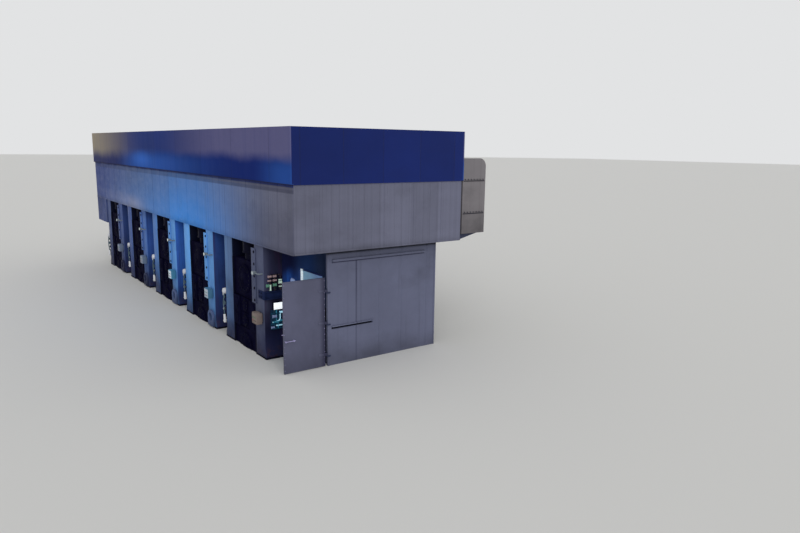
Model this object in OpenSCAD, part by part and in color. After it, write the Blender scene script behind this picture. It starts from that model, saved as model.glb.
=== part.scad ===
// Enclosed tandem rolling mill: four-high stands in one line under a common fume hood.
// X runs along the pass line towards the exit end, Y from the operator side to the
// drive side, Z up. The origin lies on the floor below the middle of the overall box.

/* [Hood] */
// Length of the hood along the pass line
hood_length = 26400; // [26000:100:28000]
// Depth of the hood from its operator face to its drive face
hood_depth = 6730; // [6600:10:7200]
// Height of the hood's open underside above the floor
underside_z = 3930; // [3800:10:4050]
// Height of the line between the grey belt and the blue fascia
belt_top_z = 6070; // [5950:10:6300]
// Height of the fascia's top edge
top_z = 7800; // [7600:10:8400]
// Thickness of the belt and fascia panels
panel_t = 40; // [30:5:60]
// Distance that the fascia stands proud of the belt on the long sides
fascia_proud = 66; // [30:2:120]
// Distance that the fascia stands proud of the belt at the two ends
end_proud = 30; // [10:5:80]
// Height of the fascia's bottom flange
flange_h = 40; // [20:5:80]
// Depth of the roof deck below the fascia's top edge
roof_drop = 140; // [80:10:300]
// Thickness of the roof deck
roof_t = 40; // [20:5:80]

/* [Hood frame] */
// Height of the rafters
rafter_h = 260; // [200:10:320]
// Width of the rafters
rafter_w = 160; // [120:10:240]
// Height of the girders that lie along the line over the housings
girder_h = 340; // [260:10:420]
// Width of the girders
girder_w = 220; // [160:10:300]
// Side of the square hangers and of the bottom rail behind the belt
rail_s = 120; // [80:10:160]
// Side of the square stub posts between the housings and the girders
stub_s = 240; // [160:10:300]
// Thickness of the web of the drive side's H-section columns
column_web = 20; // [12:1:40]
// Thickness of the flanges of those columns
column_flange = 30; // [16:1:50]
// Thickness of the columns' base plates
base_t = 30; // [20:5:50]

/* [Stands] */
// Number of stands in the line
stand_count = 5; // [3:1:5]
// Distance between neighbouring stands
stand_pitch = 4600; // [4500:20:4700]
// Width of a housing along the pass line
housing_w = 3400; // [3300:20:3500]
// Width of a housing's post along the pass line
post_w = 720; // [640:10:760]
// Thickness of a housing across the pass line
housing_t = 700; // [600:10:760]
// Distance between the middles of a stand's two housings
housing_spacing = 4100; // [4000:20:4200]
// Gap between the back of the belt and the housings' faces
housing_clear = 10; // [5:5:60]
// Height of a housing's top above the floor
housing_top_z = 5750; // [5500:50:6000]
// Height of the head of a housing's window above the floor
window_top_z = 4350; // [4250:10:4500]
// Radius in the top corners of the window
window_r = 180; // [100:10:260]
// Radius of a housing's shoulders
shoulder_r = 420; // [200:20:600]
// Height of the sole plates under the posts
sole_h = 60; // [30:5:100]
// Distance that a sole plate reaches past its post
sole_lip = 90; // [40:5:120]
// Height of the flared feet of the posts
foot_h = 320; // [200:10:400]
// Height of the beams that hold a stand's two housings apart
separator_h = 460; // [300:20:560]
// Width of those beams
separator_w = 320; // [200:20:420]

/* [Rolls] */
// Height of the pass line above the floor
pass_z = 1280; // [1240:10:1320]
// Gap between the two work rolls
roll_gap = 3; // [1:1:10]
// Diameter of a work roll
work_d = 560; // [520:10:580]
// Diameter of a backup roll
backup_d = 1400; // [1320:10:1440]
// Length of the rolls' barrels
barrel_l = 2000; // [1800:20:2200]
// Diameter of a work roll's necks
work_neck_d = 300; // [240:10:340]
// Diameter of a backup roll's necks
backup_neck_d = 820; // [700:10:900]
// Length of the work rolls' driven ends outside their chocks
wobbler_l = 420; // [300:10:600]

/* [Chocks] */
// Width of a work roll chock
work_chock_w = 860; // [760:10:940]
// Height of a backup roll chock
backup_chock_h = 1380; // [1320:10:1420]
// Chamfer on the corners of a backup roll chock
backup_chamfer = 90; // [40:10:140]
// Chamfer on the corners of a work roll chock
work_chamfer = 36; // [20:2:60]
// Vertical gap between neighbouring chocks
chock_gap = 30; // [16:2:50]
// Distance that the chocks lie back from the housing's outer face
chock_recess = 60; // [50:5:110]
// Thickness of the wear plates in the window
liner_t = 40; // [20:5:60]
// Diameter of the cover on a backup chock
backup_cover_d = 1040; // [960:10:1120]
// Diameter of the cover on a work chock
work_cover_d = 420; // [380:10:440]
// Thickness of the chock covers
cover_t = 30; // [20:2:36]
// Thickness of the raised hub on a cover
hub_t = 20; // [10:2:24]
// Diameter of the roll force cylinders
force_cyl_d = 620; // [500:10:640]
// Height of the rams below the cylinders
ram_h = 240; // [160:10:320]
// Width of the keeper plates that hold the upper backup chocks in
keeper_w = 300; // [260:10:340]
// Distance that a keeper plate reaches over the window
keeper_lap = 170; // [120:10:200]
// Thickness of the keeper plates
keeper_t = 40; // [24:2:45]

/* [End walls] */
// Distance from the hood's end face in to the end wall's outer face
end_recess = 520; // [420:10:560]
// Thickness of the end walls
wall_t = 80; // [50:5:120]
// Distance from the near edge of the strip slot to the near edge of an end wall
slot_margin = 150; // [120:10:180]
// Width of an end wall
wall_w = 4550; // [4400:10:4650]
// Width of the strip slot
slot_w = 1640; // [1500:20:1660]
// Height of the strip slot
slot_h = 80; // [60:10:180]
// Height of the track along the head of the end wall, at its underside
track_z = 3520; // [3400:10:3600]
// Height of the track
track_h = 80; // [50:5:120]
// Distance that the track and the slot's hood stand out
track_out = 60; // [30:5:80]
// Distance from the end wall's edges to the ends of the track
track_inset = 180; // [120:10:300]

/* [Door] */
// Width of the door leaf
door_w = 1500; // [1400:10:1520]
// Height of the door leaf
door_h = 3000; // [2800:10:3100]
// Thickness of the door leaf's frame
door_t = 54; // [40:2:60]
// Thickness of the door leaf's sheet
door_sheet_t = 6; // [3:1:10]
// Gap between the door leaf and the end wall
door_gap = 90; // [70:5:110]
// Gap between the door leaf and the floor
door_floor_gap = 20; // [10:5:50]
// Diameter of the hinge pins
pin_d = 24; // [20:1:30]
// Outer diameter of the hinge knuckles
knuckle_d = 44; // [36:1:50]
// Height of a hinge knuckle
knuckle_h = 90; // [60:5:120]

// Height of the slide bolt above the floor
bolt_z = 1085; // [1000:5:1200]
// Length of the slide bolt
bolt_l = 370; // [300:10:420]
// Diameter of the slide bolt
bolt_d = 28; // [20:1:32]
// Height of the catch on the leaf's free edge above the floor
catch_z = 1320; // [1250:10:1400]

/* [Exhaust plenum] */
// Depth of the plenum behind the fascia
plenum_d = 1104; // [900:2:1300]
// Height of the plenum's underside above the floor
plenum_z = 4150; // [4100:10:4300]
// Height of the plenum's top above the floor
plenum_top_z = 6870; // [6700:10:7000]
// Radius of the plenum's top outer edge
plenum_r = 300; // [100:10:400]
// Thickness of the brackets that carry the plenum
bracket_t = 60; // [30:5:100]
// Number of bays between the plenum's stiffening ribs
plenum_bays = 12; // [6:1:16]
// Width of a stiffening rib
rib_w = 60; // [40:5:100]
// Distance that the ribs stand out from the plenum's sheets
rib_out = 16; // [8:1:30]
// Height of the lower joint on the plenum's ends above its underside
low_joint_rise = 730; // [500:10:900]
// Height of the upper joint on the plenum's ends above its underside
high_joint_rise = 1910; // [1500:10:2100]

// Width of the collars that lead from the hood into the plenum
collar_w = 1400; // [1000:50:1600]
// Height of a collar's underside above the plenum's
collar_rise = 300; // [200:10:400]

/* [Stand fittings] */
// Reach of the control boxes in front of the hood's operator face
box_reach = 200; // [160:5:240]
// Width of a control box
box_w = 400; // [340:10:440]
// Height of a control box
box_h = 380; // [300:10:420]
// Height of a control box's underside above the floor
box_z = 1240; // [1100:5:1300]
// Height of the work lamps above the floor
lamp_z = 2980; // [2900:10:3150]
// Diameter of the work lamps' heads
lamp_d = 150; // [100:10:160]
// Outer diameter of the ring brackets at the posts' feet
ring_d = 560; // [460:10:600]
// Diameter of the hole in a ring bracket
ring_hole_d = 340; // [280:10:380]
// Thickness of a ring bracket
ring_t = 90; // [60:5:110]
// Width of a hose manifold
manifold_w = 300; // [240:10:360]
// Height of a hose manifold
manifold_h = 1400; // [1200:20:1500]
// Height of a hose manifold's underside above the floor
manifold_z = 470; // [400:10:560]
// Number of hose couplings on a manifold
coupling_count = 6; // [4:1:7]
// Diameter of the coolant headers
header_d = 120; // [90:5:150]

/* [Ends of the line] */
// Height of the cross beam's underside on the last stand's exit side
beam_z = 2110; // [2060:10:2200]
// Height of the cross beam
beam_h = 280; // [200:10:280]
// Distance that the cross beam stands out from the housing
beam_out = 130; // [100:10:160]
// Height of the lit cabinet's underside above the floor
cabinet_z = 1720; // [1650:10:1760]
// Height of the lit cabinet
cabinet_h = 270; // [200:10:300]
// Width of the lit cabinet
cabinet_w = 340; // [260:10:400]
// Diameter of the pipes under the cabinet
low_pipe_d = 80; // [60:5:90]
// Number of pipes under the cabinet
low_pipe_count = 5; // [3:1:5]
// Diameter of the pipes over the cross beam
high_pipe_d = 60; // [40:5:70]
// Distance between the pipes over the cross beam
high_pipe_step = 150; // [120:10:170]
// Number of pipes over the cross beam
high_pipe_count = 4; // [2:1:5]
// Height of the pale screen by the exit walkway
screen_h = 3030; // [2900:10:3150]
// Gap between the pale screen and the end wall
screen_gap = 250; // [150:10:300]
// Width of the pale screen's frame
screen_rim = 70; // [40:5:120]
// Thickness of the sheet in the pale screen's frame
screen_t = 8; // [4:1:20]
// Height of the mist guards' lower edge above the floor
guard_z = 1500; // [1450:10:1700]
// Thickness of the mist guards
guard_t = 30; // [20:5:60]
// Height of the skirt below the belt at the entry end
skirt_h = 1400; // [1200:50:1600]
// Gap between the skirt and the first stand
skirt_gap = 400; // [300:10:600]

/* [Strip tables] */
// Width of the strip tables
table_w = 1800; // [1600:20:1900]
// Distance from the pass line down to a table's top
table_drop = 60; // [40:5:90]
// Thickness of a table's top
table_t = 80; // [60:5:120]
// Side of a table's square legs
table_leg = 140; // [100:10:200]
// Diameter of the tension rolls
tension_d = 240; // [200:10:280]
// Distance from a stand's middle to the end of its table
table_clear = 760; // [720:10:900]

/* [Hidden] */

$fn = 48;

// Clearances
seat = 0.3;          // between a curved face and what carries it
pin_play = 0.1;      // radial play of a hinge pin
edge = 1;            // overshoot of a cut past the face it opens
leaf_recess = 10;    // from the end wall's outer face back to the leaf's
knuckle_clear = 2;   // from the end wall's outer face to a knuckle
base_lip = 30;       // from a column's face to its base plate's edge

// Overall frame
plenum_back = hood_depth + fascia_proud + plenum_d;
front_y = -(plenum_back - box_reach) / 2;
back_y = front_y + hood_depth;
half_l = hood_length / 2;

// Stands
housing_y = front_y + panel_t + housing_clear;
mill_y = housing_y + housing_t / 2 + housing_spacing / 2;
drive_housing_y = housing_y + housing_spacing;
inner_y = housing_y + housing_t;
window_w = housing_w - 2 * post_w;
stand_x = [for (i = [0:stand_count - 1]) (i - (stand_count - 1) / 2) * stand_pitch];
last_x = stand_x[stand_count - 1];

// Roll stack
upper_work_z = pass_z + roll_gap / 2 + work_d / 2;
lower_work_z = pass_z - roll_gap / 2 - work_d / 2;
upper_backup_z = upper_work_z + work_d / 2 + seat + backup_d / 2;
lower_backup_z = lower_work_z - work_d / 2 - seat - backup_d / 2;
upper_split_z = upper_backup_z - backup_chock_h / 2 - chock_gap / 2;
lower_split_z = lower_backup_z + backup_chock_h / 2 + chock_gap / 2;
backup_chock_top_z = upper_backup_z + backup_chock_h / 2;
chock_t = housing_t - chock_recess;
backup_chock_w = window_w - 2 * liner_t;
block_w = (window_w - work_chock_w) / 2;

// Hood frame
roof_z = top_z - roof_drop;
rafter_z = roof_z - roof_t - rafter_h;
girder_z = rafter_z - girder_h;
frame_front_y = front_y + panel_t;
frame_back_y = back_y - panel_t;
gap_x = [for (i = [0:stand_count - 2]) (stand_x[i] + stand_x[i + 1]) / 2];
end_rafter_x = half_l - panel_t - rafter_w / 2;
rafter_x = concat([-end_rafter_x], gap_x, [end_rafter_x]);
girder_y = [housing_y + housing_t / 2, drive_housing_y + housing_t / 2];

// End walls and door
wall_x = half_l - end_recess;
wall_y = mill_y - slot_w / 2 - slot_margin;
wall_back_y = wall_y + wall_w;
slot_z = pass_z - slot_h / 2;
door_edge_y = wall_y - door_gap;
hinge_y = wall_y - door_gap / 2;
hinge_x = wall_x + knuckle_d / 2 + knuckle_clear;
door_x = wall_x - door_sheet_t - leaf_recess;
hinge_z = [door_h * 0.14, door_h * 0.5, door_h * 0.86];

// A block between two corners
module block(x0, x1, y0, y1, z0, z1)
    translate([x0, y0, z0]) cube([x1 - x0, y1 - y0, z1 - z0]);

// A round bar along Y
module bar_y(x, y0, y1, z, d)
    translate([x, y0, z]) rotate([-90, 0, 0]) cylinder(d = d, h = y1 - y0);

// A round bar along X
module bar_x(x0, x1, y, z, d)
    translate([x0, y, z]) rotate([0, 90, 0]) cylinder(d = d, h = x1 - x0);

// A round bar that stands up
module bar_z(x, y, z0, z1, d)
    translate([x, y, z0]) cylinder(d = d, h = z1 - z0);

// An outline in X and Z, made thick along Y from y0 to y1
module plate_xz(y0, y1)
    translate([0, y1, 0]) rotate([90, 0, 0]) linear_extrude(y1 - y0) children();

// An outline in Y and Z, made thick along X from x0 to x1
module plate_yz(x0, x1)
    translate([x0, 0, 0]) rotate([90, 0, 90]) linear_extrude(x1 - x0) children();

// Its children at every stand
module at_stands()
    for (x = stand_x) translate([x, 0, 0]) children();

// What rounding takes off a top corner at x and z, side = 1 or -1
module corner_cut(x, z, r, side)
    difference() {
        translate([side > 0 ? x - r : x, z - r]) square(r);
        translate([x - side * r, z - r]) circle(r = r);
    }

// Housings

// The flare at a post's outer side, where it widens to its sole plate
module foot(side)
    polygon([
        [side * housing_w / 2, sole_h], [side * (housing_w / 2 + sole_lip), sole_h],
        [side * (housing_w / 2 + sole_lip), sole_h + foot_h / 3],
        [side * housing_w / 2, sole_h + foot_h]
    ]);

module housing_outline()
    difference() {
        union() {
            translate([-housing_w / 2, sole_h]) square([housing_w, housing_top_z - sole_h]);
            for (s = [-1, 1]) foot(s);
        }
        difference() {
            translate([-window_w / 2, sole_h - edge]) square([window_w, window_top_z - sole_h + edge]);
            for (s = [-1, 1]) corner_cut(s * window_w / 2, window_top_z, window_r, s);
        }
        for (s = [-1, 1]) corner_cut(s * housing_w / 2, housing_top_z, shoulder_r, s);
    }

module housing(y) plate_xz(y, y + housing_t) housing_outline();

module operator_housings() color("#6f7ea6") at_stands() housing(housing_y);

module drive_housings() color("#6f7ea6") at_stands() housing(drive_housing_y);

module sole_plates()
    color("#4a4f5e")
        at_stands()
            for (y = [housing_y, drive_housing_y], s = [-1, 1])
                translate([s * (housing_w + sole_lip - post_w) / 2, 0, 0])
                    block(-(post_w + sole_lip) / 2, (post_w + sole_lip) / 2,
                        y, y + housing_t, 0, sole_h);

module housing_separators()
    color("#5a6688")
        at_stands()
            for (s = [-1, 1])
                translate([s * (housing_w / 2 - post_w / 2), 0, 0])
                    block(-separator_w / 2, separator_w / 2, inner_y, drive_housing_y,
                        housing_top_z - shoulder_r - separator_h, housing_top_z - shoulder_r);

// Window fittings

module window_liners()
    color("#7d7f86")
        at_stands()
            for (y = [housing_y, drive_housing_y], s = [-1, 1]) {
                x = s > 0 ? window_w / 2 - liner_t : -window_w / 2;
                block(x, x + liner_t, y, y + housing_t, upper_split_z, backup_chock_top_z);
                block(x, x + liner_t, y, y + housing_t, 0, lower_split_z);
            }

module project_blocks()
    color("#59648a")
        at_stands()
            for (y = [housing_y, drive_housing_y], s = [-1, 1]) {
                x = s > 0 ? work_chock_w / 2 : -window_w / 2;
                block(x, x + block_w, y, y + housing_t,
                    lower_split_z + chock_gap / 2, upper_split_z - chock_gap / 2);
                for (z = [lower_work_z, upper_work_z])
                    bar_y(x + block_w / 2, housing_y - hub_t, housing_y, z, block_w * 0.7);
            }

// Rolls

// A roll along Y: barrel, fillet shoulders and necks that end inside the chocks
module roll(d, neck_d, neck_end) {
    half_b = barrel_l / 2;
    shoulder = (d - neck_d) / 6;
    rotate([-90, 0, 0])
        rotate_extrude($fn = 72)
            polygon([
                [0, -neck_end], [neck_d / 2, -neck_end], [neck_d / 2, -half_b - 2 * shoulder],
                [neck_d / 2 + shoulder, -half_b], [d / 2, -half_b], [d / 2, half_b],
                [neck_d / 2 + shoulder, half_b], [neck_d / 2, half_b + 2 * shoulder],
                [neck_d / 2, neck_end], [0, neck_end]
            ]);
}

neck_end = housing_spacing / 2 + housing_t / 2 - chock_recess;

module backup_roll(z) translate([0, mill_y, z]) roll(backup_d, backup_neck_d, neck_end);

// A work roll and its driven end, a round bar with two flats
module work_roll(z) {
    wobbler_d = work_neck_d * 0.88;
    translate([0, mill_y, z]) roll(work_d, work_neck_d, neck_end);
    intersection() {
        bar_y(0, mill_y + neck_end, mill_y + neck_end + wobbler_l, z, wobbler_d);
        block(-wobbler_d * 0.36, wobbler_d * 0.36, mill_y + neck_end, mill_y + neck_end + wobbler_l,
            z - wobbler_d, z + wobbler_d);
    }
}

module upper_backup_rolls() color("#8a8d93") at_stands() backup_roll(upper_backup_z);

module lower_backup_rolls()
    color("#8a8d93")
        at_stands() above_floor() backup_roll(lower_backup_z);

module upper_work_rolls() color("#a2a5aa") at_stands() work_roll(upper_work_z);

module lower_work_rolls() color("#a2a5aa") at_stands() work_roll(lower_work_z);

// Chocks

// A chock's outline: a rectangle with its corners cut at 45 degrees
module chock_outline(w, z0, z1, cut)
    polygon([
        [cut - w / 2, z0], [w / 2 - cut, z0], [w / 2, z0 + cut], [w / 2, z1 - cut],
        [w / 2 - cut, z1], [cut - w / 2, z1], [-w / 2, z1 - cut], [-w / 2, z0 + cut]
    ]);

// One chock with its bore, at the operator side (end = -1) or the drive side (end = 1)
module chock(w, z0, z1, cut, bore_z, bore_d, end) {
    y0 = end < 0 ? housing_y + chock_recess : drive_housing_y;
    difference() {
        plate_xz(y0, y0 + chock_t) chock_outline(w, z0, z1, cut);
        bar_y(0, y0 - edge, y0 + chock_t + edge, bore_z, bore_d + 2 * seat);
    }
}

// What stands above the floor
module above_floor()
    intersection() {
        children();
        block(-backup_d, backup_d, front_y, back_y, 0, backup_d);
    }

module upper_backup_chocks()
    color("#3f4657")
        at_stands()
            for (end = [-1, 1])
                chock(backup_chock_w, upper_split_z + chock_gap / 2, backup_chock_top_z,
                    backup_chamfer, upper_backup_z, backup_neck_d, end);

module lower_backup_chocks()
    color("#3f4657")
        at_stands()
            for (end = [-1, 1])
                above_floor()
                    chock(backup_chock_w, lower_backup_z - backup_chock_h / 2,
                        lower_split_z - chock_gap / 2, backup_chamfer,
                        lower_backup_z, backup_neck_d, end);

module upper_work_chocks()
    color("#4c566c")
        at_stands()
            for (end = [-1, 1])
                chock(work_chock_w, pass_z + chock_gap / 2, upper_split_z - chock_gap / 2,
                    work_chamfer, upper_work_z, work_neck_d, end);

module lower_work_chocks()
    color("#4c566c")
        at_stands()
            for (end = [-1, 1])
                chock(work_chock_w, lower_split_z + chock_gap / 2, pass_z - chock_gap / 2,
                    work_chamfer, lower_work_z, work_neck_d, end);

// A round cover with a raised hub, which stands out from y (out = -1 or 1)
module chock_cover(y, out, z, d) {
    rim_y = y + out * cover_t;
    hub_y = rim_y + out * hub_t;
    bar_y(0, min(y, rim_y), max(y, rim_y), z, d);
    bar_y(0, min(rim_y, hub_y), max(rim_y, hub_y), z, d / 2);
}

module chock_covers()
    color("#59617a")
        at_stands() {
            operator_face = housing_y + chock_recess;
            for (face = [[operator_face, -1], [drive_housing_y + chock_t, 1]]) {
                chock_cover(face[0], face[1], upper_backup_z, backup_cover_d);
                above_floor() chock_cover(face[0], face[1], lower_backup_z, backup_cover_d);
            }
            for (z = [upper_work_z, lower_work_z]) chock_cover(operator_face, -1, z, work_cover_d);
        }

module roll_force_cylinders()
    color("#6a6f7c")
        at_stands()
            for (y = [housing_y, drive_housing_y]) {
                ram_z = backup_chock_top_z + ram_h;
                bar_z(0, y + housing_t / 2, backup_chock_top_z, ram_z, force_cyl_d * 0.76);
                bar_z(0, y + housing_t / 2, ram_z, window_top_z, force_cyl_d);
                bar_z(0, y + housing_t / 2, ram_z, ram_z + ram_h / 4, force_cyl_d * 1.05);
            }

module keeper_plates()
    color("#7f8db4")
        at_stands() {
            x = window_w / 2 - keeper_lap;
            block(x, x + keeper_w, housing_y - keeper_t, housing_y,
                upper_split_z + chock_gap / 2, underside_z - keeper_w / 2);
        }

// Coolant and strip guides

module coolant_headers()
    color("#5d7f8c")
        at_stands()
            for (s = [-1, 1]) {
                x = s * (work_chock_w / 2 + block_w / 2);
                bar_y(x, inner_y, drive_housing_y, upper_split_z - chock_gap / 2 - header_d, header_d);
                bar_y(x, inner_y, drive_housing_y, lower_split_z + chock_gap / 2 + header_d, header_d);
            }

table_z = pass_z - table_drop;

// A cross beam that carries a table between a stand's housings
module table_beam(x)
    block(x - table_leg / 2, x + table_leg / 2, inner_y, drive_housing_y,
        table_z - table_t - table_leg, table_z - table_t);

module table_top(x0, x1)
    block(x0, x1, mill_y - table_w / 2, mill_y + table_w / 2, table_z - table_t, table_z);

// Two legs at the end of a table that no stand carries
module table_legs(x)
    for (y = [-table_w / 2, table_w / 2 - table_leg])
        block(x, x + table_leg, mill_y + y, mill_y + y + table_leg, 0, table_z - table_t);

module strip_tables()
    color("#4d5565") {
        for (i = [0:stand_count - 2])
            difference() {
                table_top(stand_x[i] + table_clear, stand_x[i + 1] - table_clear);
                block(gap_x[i] - tension_d * 0.7, gap_x[i] + tension_d * 0.7,
                    mill_y - table_w / 2 + table_leg, mill_y + table_w / 2 - table_leg,
                    table_z - table_t - edge, table_z + edge);
            }
        for (x = stand_x, s = [-1, 1]) table_beam(x + s * (housing_w / 2 - post_w / 2));
        for (s = [-1, 1]) {
            near = last_x + table_clear;
            far = wall_x - wall_t - table_leg;
            table_top(s > 0 ? near : -far, s > 0 ? far : -near);
            table_legs(s > 0 ? far - table_leg : -far);
        }
    }

module tension_rolls()
    color("#9b9ea4")
        for (x = gap_x)
            bar_y(x, mill_y - table_w / 2 + table_leg, mill_y + table_w / 2 - table_leg,
                pass_z - tension_d / 2, tension_d);

// Fittings on the operator side

post_x = housing_w / 2 - post_w;

module control_boxes()
    color("#cfc9b2")
        at_stands() {
            x = post_x + post_w / 3;
            block(x, x + box_w, front_y - box_reach, housing_y - keeper_t, box_z, box_z + box_h);
            block(x + box_w / 6, x + box_w * 5 / 6, housing_y - keeper_t, housing_y,
                box_z + box_h / 6, box_z + box_h * 5 / 6);
        }

module work_lamps()
    color("#d5d2c0")
        at_stands() {
            y = housing_y - lamp_d;
            x = post_x + post_w * 0.42;
            foot_x = post_x + post_w * 0.88;
            lamp_r = lamp_d / 2;
            translate([x, y, lamp_z])
                rotate([-90, 0, 0])
                    rotate_extrude()
                        polygon([
                            [0, -lamp_r], [lamp_r, -lamp_r], [lamp_r, lamp_r * -0.7],
                            [lamp_r * 0.6, lamp_r], [0, lamp_r]
                        ]);
            bar_x(x, foot_x, y, lamp_z, lamp_d / 3);
            bar_y(foot_x, y - lamp_d / 5, housing_y, lamp_z, lamp_d * 0.4);
        }

module ring_brackets()
    color("#7f9cc0")
        for (i = [0:stand_count - 2])
            translate([stand_x[i] + post_x + post_w / 2, 0, 0]) {
                z = sole_h + ring_d / 2 + ring_t;
                plate_xz(housing_y - ring_t, housing_y)
                    difference() {
                        union() {
                            translate([0, z]) circle(d = ring_d);
                            translate([-ring_d / 2, sole_h]) square([ring_d, z - sole_h]);
                        }
                        translate([0, z]) circle(d = ring_hole_d);
                    }
            }

module hose_manifolds()
    color("#8d97ab")
        at_stands() {
            x = -housing_w / 2 - manifold_w;
            block(x, -housing_w / 2, housing_y + housing_t * 0.3, housing_y + housing_t * 0.5,
                manifold_z, manifold_z + manifold_h);
            for (i = [0:coupling_count - 1])
                bar_y(x + manifold_w / 2, housing_y, housing_y + housing_t * 0.3,
                    manifold_z + manifold_h * (i + 0.5) / coupling_count, manifold_w * 0.4);
        }

side_x = last_x + housing_w / 2;

beam_top_z = beam_z + beam_h;
low_pipe_step = low_pipe_d * 1.75;

// The beam across the last post, the cabinet below it and the pipes over and under them
module exit_side_piping()
    color("#4f9aa5") {
        wall_side_y = inner_y - low_pipe_d * 0.75;
        cabinet_y = wall_side_y - cabinet_w;
        block(side_x, side_x + beam_out, housing_y, inner_y, beam_z, beam_top_z);
        block(side_x - post_w / 2, side_x + beam_out, housing_y - keeper_t, housing_y, beam_z, beam_top_z);
        block(side_x, side_x + low_pipe_d * 1.2, cabinet_y, wall_side_y, cabinet_z, cabinet_z + cabinet_h);
        for (i = [1:low_pipe_count])
            bar_y(side_x + low_pipe_d * 0.6, cabinet_y - low_pipe_d, wall_side_y,
                cabinet_z + low_pipe_d - low_pipe_step * i, low_pipe_d);
        block(side_x, side_x + low_pipe_d / 2, cabinet_y, wall_side_y,
            cabinet_z - low_pipe_step * low_pipe_count, cabinet_z);
        for (i = [1:high_pipe_count])
            bar_y(side_x + high_pipe_d, cabinet_y - high_pipe_d * 2, wall_side_y,
                beam_top_z + high_pipe_step * (i - 0.4), high_pipe_d);
        for (i = [0:2])
            bar_z(side_x + high_pipe_d, cabinet_y + cabinet_w * i / 2 - high_pipe_d,
                beam_top_z, beam_top_z + high_pipe_step * (high_pipe_count - 0.2), high_pipe_d * 0.7);
    }

// A sheet in a frame with a rail at half height
module exit_screen()
    color("#dfe6e2")
        difference() {
            far_x = wall_x - wall_t - screen_gap;
            rebate = (panel_t - screen_t) / 2;
            block(side_x, far_x, wall_y - panel_t, wall_y, 0, screen_h);
            pane_h = (screen_h - screen_rim * 3) / 2;
            for (y = [wall_y - panel_t - edge, wall_y - rebate])
                for (z = [screen_rim, screen_rim * 2 + pane_h])
                    block(side_x + screen_rim, far_x - screen_rim, y, y + rebate + edge, z, z + pane_h);
        }

// Sheets between the housings over the strip, on the outer side of the first and last stand
module mist_guards()
    color("#274a63")
        for (s = [-1, 1])
            block(s > 0 ? side_x - guard_t : -side_x, s > 0 ? side_x : guard_t - side_x,
                inner_y, drive_housing_y, guard_z, window_top_z);

// Hood shell

module belt_side(y) block(-half_l, half_l, y, y + panel_t, underside_z, belt_top_z);

module operator_belt() color("#64677d") belt_side(front_y);

module drive_belt() color("#64677d") belt_side(back_y - panel_t);

module belt_end(x) block(x, x + panel_t, frame_front_y, frame_back_y, underside_z, belt_top_z);

module exit_belt() color("#64677d") belt_end(half_l - panel_t);

module entry_belt() color("#64677d") belt_end(-half_l);

// One long fascia with its bottom flange; side = -1 operator, 1 drive
module fascia_side(side) {
    outer = side < 0 ? front_y - fascia_proud : back_y + fascia_proud;
    inner = outer - side * panel_t;
    flange = side < 0 ? frame_front_y : frame_back_y;
    block(-half_l - end_proud, half_l + end_proud, min(outer, inner), max(outer, inner),
        belt_top_z, top_z);
    block(-half_l - end_proud, half_l + end_proud, min(inner, flange), max(inner, flange),
        belt_top_z, belt_top_z + flange_h);
}

module operator_fascia() color("#3b4480") fascia_side(-1);

module drive_fascia() color("#3b4480") fascia_side(1);

module fascia_end(side) {
    outer = side * (half_l + end_proud);
    inner = outer - side * panel_t;
    block(min(outer, inner), max(outer, inner), front_y - fascia_proud + panel_t,
        back_y + fascia_proud - panel_t, belt_top_z + flange_h, top_z);
    block(min(outer, side * (half_l - panel_t)), max(outer, side * (half_l - panel_t)),
        frame_front_y, frame_back_y, belt_top_z, belt_top_z + flange_h);
}

module exit_fascia() color("#1b2566") fascia_end(1);

module entry_fascia() color("#1b2566") fascia_end(-1);

module hood_roof()
    color("#5a5f70")
        block(-half_l - end_proud + panel_t, half_l + end_proud - panel_t,
            front_y - fascia_proud + panel_t, back_y + fascia_proud - panel_t,
            roof_z - roof_t, roof_z);

// Hood frame

module hood_frame()
    color("#565d72") {
        for (x = rafter_x) {
            block(x - rafter_w / 2, x + rafter_w / 2, frame_front_y, frame_back_y,
                rafter_z, rafter_z + rafter_h);
            for (y = [frame_front_y, frame_back_y - rail_s])
                block(x - rail_s / 2, x + rail_s / 2, y, y + rail_s, underside_z, rafter_z);
        }
        block(-end_rafter_x, end_rafter_x, frame_back_y - rail_s, frame_back_y,
            underside_z, underside_z + rail_s);
        for (i = [0:stand_count])
            block(i == 0 ? -end_rafter_x : stand_x[i - 1] + housing_w / 2,
                i == stand_count ? end_rafter_x : stand_x[i] - housing_w / 2,
                frame_front_y, frame_front_y + rail_s, underside_z, underside_z + rail_s);
        for (x = [-end_rafter_x, end_rafter_x])
            block(x - rail_s / 2, x + rail_s / 2, frame_front_y, frame_back_y,
                underside_z, underside_z + rail_s);
        for (s = [-1, 1])
            block(s * (wall_x - wall_t / 2) - rail_s, s * (wall_x - wall_t / 2) + rail_s,
                frame_front_y, frame_back_y, underside_z, underside_z + rail_s);
        block(-wall_x, wall_x, wall_back_y - rail_s * 2, wall_back_y, underside_z, underside_z + rail_s);
    }

module hood_girders()
    color("#565d72")
        for (y = girder_y) {
            block(-end_rafter_x, end_rafter_x, y - girder_w / 2, y + girder_w / 2, girder_z, rafter_z);
            for (x = stand_x)
                block(x - stub_s / 2, x + stub_s / 2, y - stub_s / 2, y + stub_s / 2,
                    housing_top_z, girder_z);
        }

// An H-section column on its base plate
module column(x)
    translate([x, wall_back_y - rail_s, 0]) {
        block(-rail_s - base_lip, rail_s + base_lip, -rail_s - base_lip, rail_s + base_lip, 0, base_t);
        translate([0, 0, base_t])
            linear_extrude(underside_z - base_t)
                difference() {
                    square(rail_s * 2, center = true);
                    for (s = [-1, 1])
                        translate([s > 0 ? column_web / 2 : -rail_s - edge, column_flange - rail_s])
                            square([rail_s + edge - column_web / 2, (rail_s - column_flange) * 2]);
                }
    }

module drive_columns() color("#565d72") for (x = gap_x) column(x);

// End walls

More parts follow.
